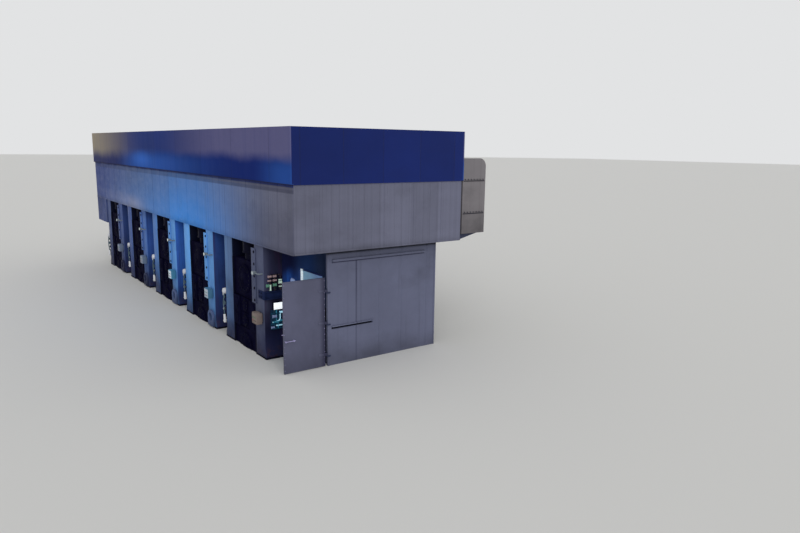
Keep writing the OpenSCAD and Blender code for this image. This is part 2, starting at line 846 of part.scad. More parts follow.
module end_wall(side) {
    x0 = side > 0 ? wall_x - wall_t : -wall_x;
    difference() {
        block(x0, x0 + wall_t, wall_y, wall_back_y, 0, underside_z);
        block(x0 - edge, x0 + wall_t + edge, mill_y - slot_w / 2, mill_y + slot_w / 2,
            slot_z, slot_z + slot_h);
    }
}

module exit_wall() color("#64677d") end_wall(1);

module entry_wall() color("#64677d") end_wall(-1);

// The track along the wall's head and the drip hood over the strip slot
module end_trim(side) {
    x0 = side > 0 ? wall_x : -wall_x - track_out;
    block(x0, x0 + track_out, wall_y + track_inset, wall_back_y - track_inset * 3,
        track_z, track_z + track_h);
    block(x0, x0 + track_out, mill_y - slot_w / 2, mill_y + slot_w / 2,
        slot_z + slot_h, slot_z + slot_h + track_h / 2);
}

module exit_trim() color("#7c8098") end_trim(1);

module entry_trim() color("#7c8098") end_trim(-1);

module entry_skirt()
    color("#5f6a8c")
        block(-half_l, -side_x - skirt_gap, front_y, front_y + panel_t,
            underside_z - skirt_h, underside_z);

// Exhaust plenum along the drive side

plenum_y = back_y + fascia_proud;

// The plenum's outline, set in at its top and back
module plenum_outline(inset)
    difference() {
        translate([plenum_y, plenum_z]) square([plenum_d - inset, plenum_top_z - plenum_z - inset]);
        corner_cut(plenum_y + plenum_d - inset, plenum_top_z - inset, plenum_r - inset, 1);
    }

// The duct with ribs round it and joint flanges across its two ends
module exhaust_plenum()
    color("#9a9fae") {
        rib_step = (hood_length - rib_w) / plenum_bays;
        plate_yz(-half_l, half_l) plenum_outline(rib_out);
        for (i = [0:plenum_bays])
            plate_yz(i * rib_step - half_l, i * rib_step - half_l + rib_w) plenum_outline(0);
        for (s = [-1, 1], rise = [low_joint_rise, high_joint_rise])
            block(s > 0 ? half_l : -half_l - rib_out, s > 0 ? half_l + rib_out : -half_l,
                plenum_y + rib_w / 2, plenum_y + plenum_d - rib_w,
                plenum_z + rise - rib_w / 3, plenum_z + rise + rib_w / 3);
    }

module plenum_collars()
    color("#868b9b")
        for (x = stand_x)
            block(x - collar_w / 2, x + collar_w / 2, back_y, plenum_y,
                plenum_z + collar_rise, belt_top_z - collar_rise);

module plenum_brackets()
    color("#565d72")
        for (x = rafter_x)
            plate_yz(x - bracket_t / 2, x + bracket_t / 2)
                polygon([[back_y, underside_z], [back_y, plenum_z], [plenum_y + plenum_d * 0.8, plenum_z]]);

// Door leaf and hinges

module door_pins()
    color("#3c3f48")
        for (z = hinge_z) {
            bar_z(hinge_x, hinge_y, z - knuckle_h, z + knuckle_h, pin_d);
            bar_z(hinge_x, hinge_y, z - knuckle_h, z - knuckle_h / 2 - seat, knuckle_d);
            block(wall_x, hinge_x + knuckle_d / 2, hinge_y, wall_y + door_gap,
                z - knuckle_h, z - knuckle_h / 2 - seat);
        }

module door_knuckles()
    color("#3c3f48")
        for (z = hinge_z)
            difference() {
                union() {
                    bar_z(hinge_x, hinge_y, z - knuckle_h / 2, z + knuckle_h / 2, knuckle_d);
                    block(door_x + door_sheet_t, wall_x + 2, door_edge_y - door_w / 6,
                        door_edge_y, z - knuckle_h / 2, z + knuckle_h / 2);
                    block(door_x + door_sheet_t, hinge_x, door_edge_y - knuckle_d / 2,
                        hinge_y, z - knuckle_h / 2, z + knuckle_h / 2);
                }
                bar_z(hinge_x, hinge_y, z - knuckle_h, z + knuckle_h, pin_d + 2 * pin_play);
            }

door_top_z = door_floor_gap + door_h;

module door_sheet()
    color("#666a80")
        block(door_x, door_x + door_sheet_t, door_edge_y - door_w, door_edge_y,
            door_floor_gap, door_top_z);

module door_frame()
    color("#666a80")
        difference() {
            block(door_x - door_t, door_x, door_edge_y - door_w, door_edge_y, door_floor_gap, door_top_z);
            for (z = [door_floor_gap + door_t, door_floor_gap + door_h / 2 + door_t / 2])
                block(door_x - door_t - edge, door_x + edge, door_edge_y - door_w + door_t,
                    door_edge_y - door_t, z, z + door_h / 2 - door_t * 1.5);
        }

// The slide bolt with its guides, and the catch on the leaf's free edge
module door_handle()
    color("#b9b6c6") {
        free_y = door_edge_y - door_w;
        x = door_x + door_sheet_t;
        bar_y(x + bolt_d, free_y + bolt_d, free_y + bolt_d + bolt_l, bolt_z, bolt_d);
        for (y = [free_y + bolt_d * 2, free_y + bolt_l - bolt_d])
            block(x, x + bolt_d * 1.7, y - bolt_d / 2, y + bolt_d / 2, bolt_z - bolt_d, bolt_z + bolt_d);
        bar_x(x + bolt_d, x + bolt_d * 3, free_y + bolt_l / 2, bolt_z, bolt_d / 2);
        bar_y(door_x - door_t / 2, free_y - door_t, free_y, catch_z, door_t / 2);
    }

sole_plates();
operator_housings();
drive_housings();
window_liners();
project_blocks();
upper_backup_rolls();
lower_backup_rolls();
upper_work_rolls();
lower_work_rolls();
upper_backup_chocks();
lower_backup_chocks();
upper_work_chocks();
lower_work_chocks();
chock_covers();
roll_force_cylinders();
keeper_plates();
housing_separators();
coolant_headers();
strip_tables();
tension_rolls();
control_boxes();
work_lamps();
ring_brackets();
hose_manifolds();
exit_side_piping();
exit_screen();
operator_belt();
drive_belt();
exit_belt();
entry_belt();
operator_fascia();
drive_fascia();
exit_fascia();
entry_fascia();
mist_guards();
hood_roof();
hood_frame();
hood_girders();
drive_columns();
exit_wall();
entry_wall();
exit_trim();
entry_trim();
entry_skirt();
exhaust_plenum();
plenum_brackets();
plenum_collars();
door_pins();
door_sheet();
door_frame();
door_knuckles();
door_handle();
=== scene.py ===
"""The looks of an enclosed tandem rolling mill: finishes, fittings, fasteners and the stage."""

import math

import bmesh
import bpy
from bpy.props import FloatProperty, FloatVectorProperty, IntProperty, PointerProperty
from mathutils import Matrix, Vector


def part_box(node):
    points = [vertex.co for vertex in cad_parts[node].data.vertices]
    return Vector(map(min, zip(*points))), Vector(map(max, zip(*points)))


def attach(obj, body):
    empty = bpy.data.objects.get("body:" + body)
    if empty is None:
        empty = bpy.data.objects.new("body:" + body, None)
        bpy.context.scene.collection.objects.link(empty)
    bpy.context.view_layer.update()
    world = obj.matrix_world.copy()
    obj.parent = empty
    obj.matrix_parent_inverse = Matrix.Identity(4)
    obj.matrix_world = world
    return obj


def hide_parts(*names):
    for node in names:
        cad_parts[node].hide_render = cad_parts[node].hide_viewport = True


bl_info = {
    "name": "Tandem mill dressing",
    "version": (1, 0, 0),
    "blender": (4, 5, 0),
    "location": "3D View > Sidebar > Mill",
    "description": "Finishes and fittings for an enclosed tandem rolling mill",
    "category": "Object",
}

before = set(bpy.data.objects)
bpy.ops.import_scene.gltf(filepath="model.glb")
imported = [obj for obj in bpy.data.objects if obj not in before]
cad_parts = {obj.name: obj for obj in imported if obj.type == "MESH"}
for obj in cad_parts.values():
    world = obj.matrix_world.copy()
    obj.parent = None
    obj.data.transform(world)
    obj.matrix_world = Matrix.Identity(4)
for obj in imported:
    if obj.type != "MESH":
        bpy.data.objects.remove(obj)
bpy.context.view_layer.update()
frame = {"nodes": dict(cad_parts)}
NODES = frame["nodes"]
MILL, DOOR = "mill", "door"


def shade(red, green, blue):
    """A colour written from 0 to 255, as the linear one that Blender uses."""
    def linear(value):
        value /= 255
        return value / 12.92 if value <= 0.04045 else ((value + 0.055) / 1.055) ** 2.4
    return linear(red), linear(green), linear(blue)


# Settings that a user would change

def paint(name, description, red, green, blue):
    """A colour setting."""
    return FloatVectorProperty(name=name, description=description, subtype="COLOR", size=3,
                               min=0, max=1, default=shade(red, green, blue))


def length(name, description, default):
    """A size setting in metres."""
    return FloatProperty(name=name, description=description, subtype="DISTANCE", unit="LENGTH",
                         min=0, default=default)


class MillPaints(bpy.types.PropertyGroup):
    """Colours of the mill's finishes, with colours of painted lamp light and painted shade among them."""
    belt: paint("Belt", "Sheet cladding of the hood's belt", 104, 106, 126)
    glow: paint("Belt glow", "Belt where the bay lamps light it", 66, 146, 236)
    # Painted bluish shade on the belt towards the entry end.
    belt_far: paint("Far belt", "Bluish tone of the belt towards the entry end", 66, 78, 134)
    belt_dust: paint("Belt dust", "Dust along the belt's lower edge", 172, 170, 190)
    post_glow: paint("Post glow", "Posts where the bay lamps light them", 104, 172, 246)
    fascia: paint("Fascia", "Deep blue fascia sheet", 14, 34, 100)
    fascia_low: paint("Long fascia", "Lower half of the long fascia", 25, 41, 104)
    # Painted reflections on the long fascia: a pale one on its upper half and a warm one towards the entry
    # end.
    fascia_reflection: paint("Fascia haze", "Dusty upper half of the long fascia", 98, 97, 136)
    fascia_warm_reflection: paint("Worn fascia", "Long fascia at the entry end", 158, 148, 130)
    fascia_glow: paint("Fascia glow", "Lamp light on the long fascia", 58, 108, 200)
    wall: paint("End wall", "Sheet cladding of the end walls", 98, 102, 126)
    door: paint("Door", "Enamel of the guard door", 88, 90, 113)
    housing: paint("Housings", "Machine enamel on the housings' fronts", 82, 88, 114)
    # Painted shade: the housings' sides are drawn in this dark colour, which also serves other painted shade
    # and dark joints.
    shade: paint("Housing sides", "Oily enamel on the housings' sides and windows", 42, 43, 68)
    bay_glow: paint("Bay glow", "Deep blue lamp light between the stands", 60, 123, 232)
    stain: paint("Stain", "Brown and purple stains on the housings' sides", 62, 40, 74)
    # Blocks, chocks and window faces: oily enamel and castings, made near black as painted shade inside the
    # housings' windows.
    block: paint("Blocks", "Machine enamel of the inner blocks", 13, 13, 36)
    chock: paint("Chocks", "Oily castings", 12, 11, 34)
    window: paint("Windows", "Oily enamel on the faces of the housings' windows", 14, 18, 40)
    bracket: paint("Brackets", "Enamel of the ring brackets at the feet", 86, 102, 142)
    steel: paint("Steel", "Ground steel of the rolls", 112, 114, 118)
    dark: paint("Dark steel", "Dark structural paint", 15, 16, 34)
    beam: paint("Beam", "Blue enamel of the beam across the last post", 30, 40, 74)
    frame: paint("Frame", "Structural paint of the hood's frame", 50, 56, 80)
    # Mist guards: a shaded and a lit copy of one wet sheet, as painted shade and painted lamp light.
    guard: paint("Mist guards", "Wet dark sheet", 27, 32, 74)
    guard_lit: paint("Lit mist guards", "Wet sheet in lamp light", 53, 82, 141)
    # Pipes: teal shines with painted lamp light, teal_dark is its copy out of the lamp light, and wet_light
    # gives painted highlights.
    teal: paint("Pipes", "Wet teal pipes", 46, 118, 142)
    teal_dark: paint("Dark pipes", "Teal pipes out of the lamp light", 16, 66, 92)
    wet_light: paint("Wet light", "Lamp light on the wet pipes", 176, 226, 246)
    # Dark teal sheet, standing for the shade behind the wet pipes.
    pipe_back: paint("Pipe back", "Sheet behind the wet pipes", 12, 46, 74)
    brown: paint("Brown pipes", "Rusty pipes over the beam", 70, 58, 60)
    # Valve bodies, shown with painted lamp light that shines by itself.
    valve: paint("Valve bodies", "Pinkish castings over the beam", 158, 136, 140)
    valve_low: paint("Low valve bodies", "Blue-grey castings among the wet pipes", 132, 146, 184)
    valve_green: paint("Green valve bodies", "Green castings over the beam", 92, 140, 120)
    valve_pale: paint("Pale valve bodies", "Castings over the beam in lamp light", 196, 220, 206)
    cream: paint("Couplings", "Pale enamel of the hose couplings", 214, 216, 220)
    hose: paint("Hoses", "Grey rubber of the hose links", 84, 104, 116)
    # Control boxes: lit and shaded copies of one enamel; the dull and far ones are painted shade out of the
    # lamp light at the exit and entry ends.
    box: paint("Box doors", "Pale enamel of the control boxes' doors in lamp light", 216, 230, 244)
    box_side: paint("Box cases", "Shaded cases of the control boxes", 76, 140, 176)
    box_dull: paint("Dull boxes", "Control boxes at the exit end, out of the lamp light", 128, 116, 112)
    box_far: paint("Far boxes", "Control boxes towards the entry end", 118, 124, 146)
    button_red: paint("Red buttons", "Caps of the red buttons", 150, 30, 26)
    button_green: paint("Green buttons", "Caps of the green buttons", 36, 110, 66)
    button_black: paint("Black buttons", "Caps of the black buttons", 24, 24, 26)
    cabinet: paint("Cabinet", "Lit front of the cabinet on the exit side", 236, 240, 244)
    handle: paint("Handle", "Worn bright metal of the door's handle", 150, 146, 184)
    lamp: paint("Lamps", "Grey enamel of the work lamps", 120, 130, 138)
    lens: paint("Lamp lenses", "Lit lenses of the work lamps", 236, 240, 236)
    duct: paint("Duct", "Pale sheet of the exhaust plenum", 125, 121, 125)
    # Screen: a pale sheet with painted lamp light and a painted bright edge.
    screen: paint("Screen", "Pale screen in the last bay", 128, 166, 190)
    screen_dark: paint("Dark screen", "Far end of the pale screen", 100, 125, 165)
    screen_edge: paint("Screen edge", "Lit edge of the pale screen", 236, 250, 255)
    glint: paint("Glint", "Bright reflection on the mist guard", 190, 208, 255)
    grime: paint("Grime", "Oil and dust on the paint", 24, 22, 26)
    rust: paint("Rust", "Rust at the edges and feet", 84, 52, 36)


class MillSizes(bpy.types.PropertyGroup):
    """Sizes of the small fittings."""
    seam_pitch: length("Seam pitch", "Distance between the belt's standing seams", 1.22)
    seam_width: length("Seam width", "Width of a standing seam", 0.016)
    seam_height: length("Seam height", "Height of a standing seam", 0.006)
    roof_pitch: length("Roof rib pitch", "Distance between the roof's ribs", 0.6)
    bolt_radius: length("Bolt radius", "Radius of a heavy bolt head", 0.036)
    screw_radius: length("Screw radius", "Radius of a sheet screw's head", 0.011)
    cover_bolts: IntProperty(name="Cover bolts", description="Bolts round a backup chock's cover",
                             min=6, max=36, default=18)


class MillStage(bpy.types.PropertyGroup):
    """Light and floor."""
    floor: paint("Floor", "Plain floor", 214, 214, 212)
    backdrop: paint("Backdrop", "Plain background", 226, 227, 228)
    sky: FloatProperty(name="Soft light", description="Strength of the light from all round",
                       min=0, default=0.66)
    key: FloatProperty(name="Key light", description="Strength of the large lamp in front",
                       min=0, default=1.0)


class MillSettings(bpy.types.PropertyGroup):
    """All settings of the mill."""
    paints: PointerProperty(type=MillPaints)
    sizes: PointerProperty(type=MillSizes)
    stage: PointerProperty(type=MillStage)


def settings():
    """The scene's mill settings."""
    return bpy.context.scene.mill


# Shader nodes

def paint_of(name):
    """A colour setting, by its name in MillPaints."""
    return tuple(getattr(settings().paints, name))


class Finish:
    """A material in the making, on Object coordinates.

    A paint is the name of a colour setting. A value is a socket, a number, or the letter of an
    axis for the place on it.
    """

    def __init__(self, name, paint, shine=0.25, rough=0.4, metal=0.0):
        self.material = bpy.data.materials.new(name)
        self.material.use_nodes = True
        self.tree = self.material.node_tree
        self.shader = self.tree.nodes["Principled BSDF"]
        self.shader.inputs["Metallic"].default_value = metal
        self.shader.inputs["Roughness"].default_value = rough
        self.shader.inputs["Specular IOR Level"].default_value = shine
        self.color = paint_of(paint)
        self.shader.inputs["Base Color"].default_value = (*self.color, 1)
        self.place = self.add("ShaderNodeTexCoord").outputs["Object"]
        self.axes = self.add("ShaderNodeSeparateXYZ")
        self.join(self.place, self.axes.inputs[0])
        self.normal = None

    def add(self, kind, **values):
        """A new node with its settings."""
        node = self.tree.nodes.new(kind)
        for name, value in values.items():
            setattr(node, name, value)
        return node

    def join(self, source, target):
        """Links an output or an axis, or sets a plain value."""
        if isinstance(source, str):
            source = self.axes.outputs[source]
        if isinstance(source, bpy.types.NodeSocket):
            self.tree.links.new(source, target)
        elif isinstance(source, tuple) and target.type == "RGBA":
            target.default_value = (*source, 1)
        else:
            target.default_value = source

    def math(self, operation, first, second=0.0):
        """The result of a sum on one or two values."""
        node = self.add("ShaderNodeMath", operation=operation)
        self.join(first, node.inputs[0])
        self.join(second, node.inputs[1])
        return node.outputs[0]

    def vector(self, operation, first, second=(0, 0, 0)):
        """A node that works on one or two vectors."""
        node = self.add("ShaderNodeVectorMath", operation=operation)
        self.join(first, node.inputs[0])
        self.join(second, node.inputs[1])
        return node

    def times(self, *factors):
        """The product of factors."""
        result = factors[0]
        for factor in factors[1:]:
            result = self.math("MULTIPLY", result, factor)
        return result

    def ramp(self, value, low, high, out_low=0.0, out_high=1.0):
        """A smooth step of value from low to high."""
        node = self.add("ShaderNodeMapRange", interpolation_type="SMOOTHSTEP")
        for socket, given in zip(node.inputs, (value, low, high, out_low, out_high)):
            self.join(given, socket)
        return node.outputs[0]

    def above(self, level, blur):
        """0 below a level and 1 above it."""
        return self.ramp("Z", level, level + blur)

    def below(self, level, blur):
        """1 below a level and 0 above it."""
        return self.ramp("Z", level - blur, level, 1.0, 0.0)

    def hump(self, axis, low, top, high):
        """0 below low, 1 at top and 0 above high, on an axis."""
        return self.times(self.ramp(axis, low, top), self.ramp(axis, top, high, 1.0, 0.0))

    def spot(self, centre, reach):
        """1 at a point, falling to 0 at a distance that each axis has its own value for."""
        offset = self.vector("SUBTRACT", self.place, centre)
        scaled = self.vector("DIVIDE", offset.outputs["Vector"], reach)
        away = self.vector("LENGTH", scaled.outputs["Vector"])
        return self.ramp(away.outputs["Value"], 0.0, 1.0, 1.0, 0.0)

    def noise(self, scale, seed, detail=4.0, rough=0.6):
        """Clouds from 0 to 1; scale is the number of lumps per metre, for all axes or for each."""
        mapping = self.add("ShaderNodeMapping")
        self.join(self.place, mapping.inputs["Vector"])
        mapping.inputs["Scale"].default_value = scale if isinstance(scale, tuple) else (scale, scale, scale)
        mapping.inputs["Location"].default_value = (seed, seed * 1.7, seed * 0.6)
        node = self.add("ShaderNodeTexNoise")
        self.join(mapping.outputs[0], node.inputs["Vector"])
        for name, value in (("Scale", 1.0), ("Detail", detail), ("Roughness", rough)):
            node.inputs[name].default_value = value
        return node.outputs["Fac"]

    def cells(self, axis, pitch, offset):
        """The place on an axis, counted in cells of a width."""
        return self.math("DIVIDE", self.math("ADD", axis, offset), pitch)

    def off_middle(self, axis, pitch, offset):
        """The distance from the middle of a cell, as a share of its width."""
        share = self.math("FRACT", self.cells(axis, pitch, offset))
        return self.math("ABSOLUTE", self.math("SUBTRACT", share, 0.5))

    def lines(self, axis, pitch, width, offset):
        """1 on thin lines across an axis, pitch apart, and 0 between them."""
        edge = 0.5 - width / pitch
        return self.ramp(self.off_middle(axis, pitch, offset), edge, edge + width / pitch * 0.6)

    def panels(self, axis, pitch, offset):
        """A random value from 0 to 1 for each panel of a width, on an axis."""
        node = self.add("ShaderNodeTexWhiteNoise", noise_dimensions="1D")
        self.join(self.math("FLOOR", self.cells(axis, pitch, offset)), node.inputs["W"])
        return node.outputs["Value"]

    def show(self, color):
        """Makes a socket the colour that is there."""
        self.color = color
        self.join(color, self.shader.inputs["Base Color"])

    def blend(self, paint, *factors):
        """Lays a paint over what is there, as far as the product of factors says."""
        node = self.add("ShaderNodeMix", data_type="RGBA")
        self.join(self.times(*factors), node.inputs[0])
        self.join(self.color, node.inputs[6])
        self.join(paint_of(paint), node.inputs[7])
        self.show(node.outputs[2])

    def tone(self, value, dark, light):
        """Darkens and lightens what is there by a value from 0 to 1."""
        node = self.add("ShaderNodeVectorMath", operation="SCALE")
        self.join(self.color, node.inputs[0])
        self.join(self.ramp(value, 0.25, 0.75, dark, light), node.inputs["Scale"])
        self.show(node.outputs[0])

    def grime(self, amount, seed, low=None, high=None, streaks=True):
        """Dust and oil: cloudy patches, runs down the sheet and a dirty foot from low to high."""
        patches = self.noise((0.5, 0.5, 0.7), seed, 6.0, 0.62)
        self.blend("grime", self.ramp(patches, 0.52, 0.8, 0.0, 0.55 * amount))
        if streaks:
            runs = self.noise((5.0, 5.0, 0.16), seed + 3.1, 5.0)
            self.blend("grime", self.ramp(runs, 0.55, 0.82, 0.0, 0.6 * amount))
        if low is not None:
            broken = self.ramp(patches, 0.3, 0.65, 0.35, 1.0)
            self.blend("grime", self.ramp("Z", low, high, 1.0, 0.0), broken, amount)

    def roughness(self, value, smooth, rough):
        """Varies the gloss by a value from 0 to 1."""
        self.join(self.ramp(value, 0.3, 0.7, smooth, rough), self.shader.inputs["Roughness"])

    def bump(self, value, depth):
        """Raises the surface by value times depth in metres."""
        node = self.add("ShaderNodeBump")
        node.inputs["Distance"].default_value = depth
        self.join(value, node.inputs["Height"])
        if self.normal is not None:
            self.join(self.normal, node.inputs["Normal"])
        self.normal = node.outputs[0]
        self.join(self.normal, self.shader.inputs["Normal"])

    def glow(self, strength):
        """Lets the colour that is there shine by itself."""
        self.join(self.color, self.shader.inputs["Emission Color"])
        self.shader.inputs["Emission Strength"].default_value = strength

    def coat(self, value, smooth, rough, grain=0.0006):
        """The material, with gloss by a value and the fine grain of sprayed enamel."""
        self.roughness(value, smooth, rough)
        self.bump(self.noise(38, 5.0, 3.0), grain)
        return self.material


# Places along X: the middle of the bay lamps' painted light on the belt, on the fascia and between the
# stands, the belt's open joints, the joint where the belt's tone and painted lamp light change, and the
# place where the fascia's painted warm reflection steps down
LAMP_X, FASCIA_LAMP_X, BAY_LAMP_X = 4.4, -2.6, 2.0
BELT_JOINTS = (-1.17, 5.87, 6.68, 7.81, 10.47)
BELT_STEP_X, FASCIA_STEP_X = 1.32, -5.05

# Cover strips on the end walls, as distances from the operator side's edge
WALL_SEAMS = (1.12, 2.065, 3.035, 4.15)

# Depth of the fine grain on the hood's sheet and the control boxes
FINE_GRAIN = 0.0005


def lit_belt(finish, low, high):
    """Painted lamp light, painted bluish shade towards the entry end, dust, joints and the painted shaded
    strip under the fascia, on the long belt.
    """
    # Painted bluish shade towards the entry end.
    finish.blend("belt_far", finish.ramp("X", -12.0, -2.0, 0.9, 0.0))
    finish.blend("glow", finish.ramp("X", -15.0, 6.0),
                 finish.ramp("X", LAMP_X - 2.0, high.x - 0.6, 1.0, 0.0),
                 finish.ramp("Z", low.z, high.z, 1.0, 0.6),
                 finish.ramp("X", BELT_STEP_X - 0.03, BELT_STEP_X + 0.03, 0.83, 1.0))
    dusty = finish.ramp(finish.noise((0.5, 0.5, 1.2), 36.0), 0.3, 0.6, 0.25, 0.5)
    finish.blend("belt_dust", finish.hump("X", -12.5, -5.4, -1.5), finish.below(low.z + 0.9, 0.7), dusty)
    # Bluer towards the belt's head before X 7, and darker low down towards the exit end.
    finish.blend("fascia_low", finish.ramp("X", 3.0, 7.0, 0.13, 0.0), finish.ramp("Z", low.z, high.z))
    finish.blend("shade", finish.ramp("X", 7.5, 12.0, 0.0, 0.3), finish.below(low.z + 1.7, 1.3))
    for place in BELT_JOINTS:
        finish.blend("shade", finish.hump("X", place - 0.03, place, place + 0.03), 0.35)
    # Painted shadow under the fascia: a dark strip along the belt's head, a lighter line in it, and a darker
    # line right under the fascia.
    finish.blend("shade", finish.above(high.z - 0.28, 0.04), finish.ramp("X", -4.0, 8.0, 0.3, 0.5))
    finish.blend("belt", finish.hump("Z", high.z - 0.17, high.z - 0.12, high.z - 0.06),
                 finish.ramp("X", 3.0, 9.0, 0.0, 0.5))
    finish.blend("fascia_low", finish.above(high.z - 0.09, 0.04), 0.88)


def belt_finish(name, node, along, lit):
    """Blue-grey sheet cladding with shallow ribs; along is the axis that the belt runs on."""
    pitch = settings().sizes.seam_pitch
    low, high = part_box(node)
    finish = Finish(name, "belt", 0.05 if lit else 0.25)
    finish.tone(finish.panels(along, pitch, pitch / 2), 0.93, 1.06)
    finish.tone(finish.noise((0.25, 0.25, 0.9), 1.3, 5.0), 0.93, 1.07)
    if lit:
        lit_belt(finish, low, high)
    ribs = finish.lines(along, pitch / 4, 0.01, 0.07)
    finish.tone(finish.noise((9.0, 9.0, 0.1), 2.2, 3.0), 0.96, 1.04)
    finish.tone(finish.math("SUBTRACT", 1.0, ribs), 0.93, 1.0)
    finish.grime(0.3, 2.0, low.z - 0.03, low.z + 0.27)
    finish.bump(ribs, 0.005)
    return finish.coat(finish.noise((1.5, 1.5, 3.0), 7.0), 0.42, 0.62, FINE_GRAIN)


def end_fascia_finish():
    """Deep blue sheet with faint joints."""
    pitch, offset = 1.52, 0.55
    finish = Finish("fascia_end", "fascia", 0.16)
    finish.tone(finish.panels("Y", pitch, offset), 0.95, 1.06)
    finish.tone(finish.noise((0.4, 0.3, 0.35), 4.0), 0.88, 1.12)
    joints = finish.lines("Y", pitch, 0.014, offset)
    finish.blend("grime", joints, 0.3)
    finish.grime(0.15, 6.0)
    finish.bump(joints, -0.005)
    return finish.coat(finish.noise((1.2, 1.2, 2.0), 8.0), 0.34, 0.52, FINE_GRAIN)


def long_fascia_finish():
    """Blue sheet with painted lamp light low down, a painted pale reflection above and a painted warm
    reflection at the entry end.
    """
    low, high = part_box("operator_fascia")
    pitch, offset = 3.04, 0.4
    finish = Finish("fascia_long", "fascia_low", 0.003)
    finish.tone(finish.panels("X", pitch, offset), 0.93, 1.07)
    finish.tone(finish.noise((0.16, 0.3, 0.5), 9.0), 0.88, 1.12)
    fade = finish.ramp("Z", low.z + 0.35, high.z - 0.7, 1.0, 0.2)
    finish.blend("fascia_glow", finish.hump("X", -8.0, FASCIA_LAMP_X, 10.0), fade, 0.62)
    finish.blend("fascia_glow", finish.ramp("X", high.x - 2.8, high.x - 0.4), fade, 0.42)
    waver = finish.math("SUBTRACT", finish.noise((0.22, 0.3, 0.3), 2.5), 0.5)
    height = finish.math("ADD", "Z", finish.times(waver, 0.7))
    runs = finish.noise((3.2, 3.2, 0.25), 4.4, 5.0)
    streaked = finish.ramp(runs, 0.25, 0.6, 0.85, 1.0)
    # Painted reflections: a pale one in streaks on the upper half, strongest towards the exit end, and a
    # warm one towards the entry end.
    finish.blend("fascia_reflection", finish.ramp(height, 6.6, 7.05), streaked,
                 finish.ramp("X", 0.0, 8.5, 0.12, 1.0))
    finish.blend("fascia_warm_reflection", finish.ramp(height, 6.3, 7.0, 0.12, 1.0), streaked,
                 finish.ramp("X", -14.5, -1.5, 1.0, 0.0),
                 finish.ramp("X", FASCIA_STEP_X, FASCIA_STEP_X + 0.15, 1.0, 0.7))
    spot = finish.spot((FASCIA_LAMP_X, low.y, low.z + 0.42), (2.2, 1.0, 0.55))
    finish.blend("fascia_glow", spot, 0.75)
    joints = finish.lines("X", pitch, 0.014, offset)
    finish.blend("grime", joints, 0.35)
    finish.grime(0.15, 3.0, low.z - 0.02, low.z + 0.13)
    finish.blend("shade", finish.below(low.z + 0.04, 0.03))
    finish.bump(joints, -0.005)
    return finish.coat(runs, 0.34, 0.52, FINE_GRAIN)


def window_share(finish):
    """1 on a housing between its two outer sides, and 0 on those."""
    first, second = solids("operator_housings")[:2]
    pitch, half = second[0].x - first[0].x, (first[1].x - first[0].x) / 2
    centre = (first[0].x + first[1].x) / 2
    away = finish.times(finish.off_middle("X", pitch, pitch / 2 - centre), pitch)
    return finish.ramp(away, half - 0.2, half - 0.15, 1.0, 0.0)


def housing_finish():
    """Oily machine enamel: painted lamp light up to the front plane where the bay lamps reach, painted shade
    behind it and in the windows.
    """
    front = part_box("operator_housings")[0].y + 0.005
    finish = Finish("housing_enamel", "shade", 0.06)
    finish.tone(finish.noise((1.1, 1.1, 0.7), 10.0, 6.0, 0.62), 0.76, 1.3)
    inner = finish.ramp(finish.noise((0.6, 0.6, 0.4), 31.0, 3.0, 0.5), 0.3, 0.7, 0.42, 0.6)
    finish.blend("bay_glow", finish.hump("X", -14.0, BAY_LAMP_X, 9.8), inner)
    finish.blend("bay_glow", finish.hump("X", -3.0, BAY_LAMP_X, 9.5), finish.above(2.5, 1.2), 0.42)
    # On the last housing's exit side: painted shade low down, and painted light near its front higher up.
    last = finish.ramp("X", 10.4, 10.8)
    finish.blend("dark", last, finish.below(1.5, 0.5), 0.7)
    finish.blend("housing", last, finish.ramp("Y", front + 0.05, front + 0.3, 0.4, 0.0),
                 finish.above(1.5, 0.3))
    stains = finish.ramp(finish.noise((1.6, 2.6, 0.25), 33.0), 0.46, 0.62, 0.0, 0.5)
    finish.blend("stain", stains, finish.ramp("X", -4.0, BAY_LAMP_X, 0.2, 1.0))
    # Painted shade in the housings' windows.
    finish.blend("window", window_share(finish))
    face = finish.ramp("Y", front, front + 0.02, 1.0, 0.0)
    finish.blend("housing", face)
    finish.blend("post_glow", face, finish.hump("X", -6.5, LAMP_X, 9.8), 0.9)
    finish.blend("bay_glow", face, finish.hump("X", -16.0, -3.5, 3.0), 0.3)
    finish.tone(finish.noise((0.9, 0.9, 0.6), 11.0, 6.0, 0.62), 0.86, 1.12)
    finish.grime(0.7, 5.0, 0.2, 2.4)
    finish.blend("fascia", finish.below(1.6, 1.3), 0.25)
    finish.blend("shade", finish.below(1.0, 0.8), 0.55)
    chips = finish.noise(7, 15.0, 7.0, 0.7)
    finish.blend("grime", finish.ramp(chips, 0.68, 0.72, 0.0, 0.8))
    finish.blend("rust", finish.below(0.7, 0.7), finish.ramp(chips, 0.5, 0.62), 0.3)
    finish.roughness(finish.noise((2.2, 2.2, 1.2), 12.0, 5.0), 0.36, 0.62)
    finish.bump(finish.noise(14, 13.0, 5.0), 0.0012)
    return finish.material


def casting_finish(name, paint, shine=0.14, dirt=0.5):
    """Dark casting under a film of oil."""
    finish = Finish(name, paint, shine)
    finish.tone(finish.noise(2.4, 17.0, 6.0, 0.65), 0.7, 1.3)
    finish.grime(dirt, 7.5)
    finish.roughness(finish.noise(3.0, 18.0, 5.0), 0.36, 0.66)
    finish.bump(finish.noise(26, 19.0), 0.001)
    return finish.material


def enamel_finish(name, paint, rough, dirt):
    """Sprayed enamel with light dirt."""
    finish = Finish(name, paint)
    finish.tone(finish.noise((1.6, 1.6, 1.0), 21.0, 5.0), 0.88, 1.08)
    finish.grime(dirt, 8.5)
    return finish.coat(finish.noise(3.4, 22.0), rough * 0.8, rough * 1.4)


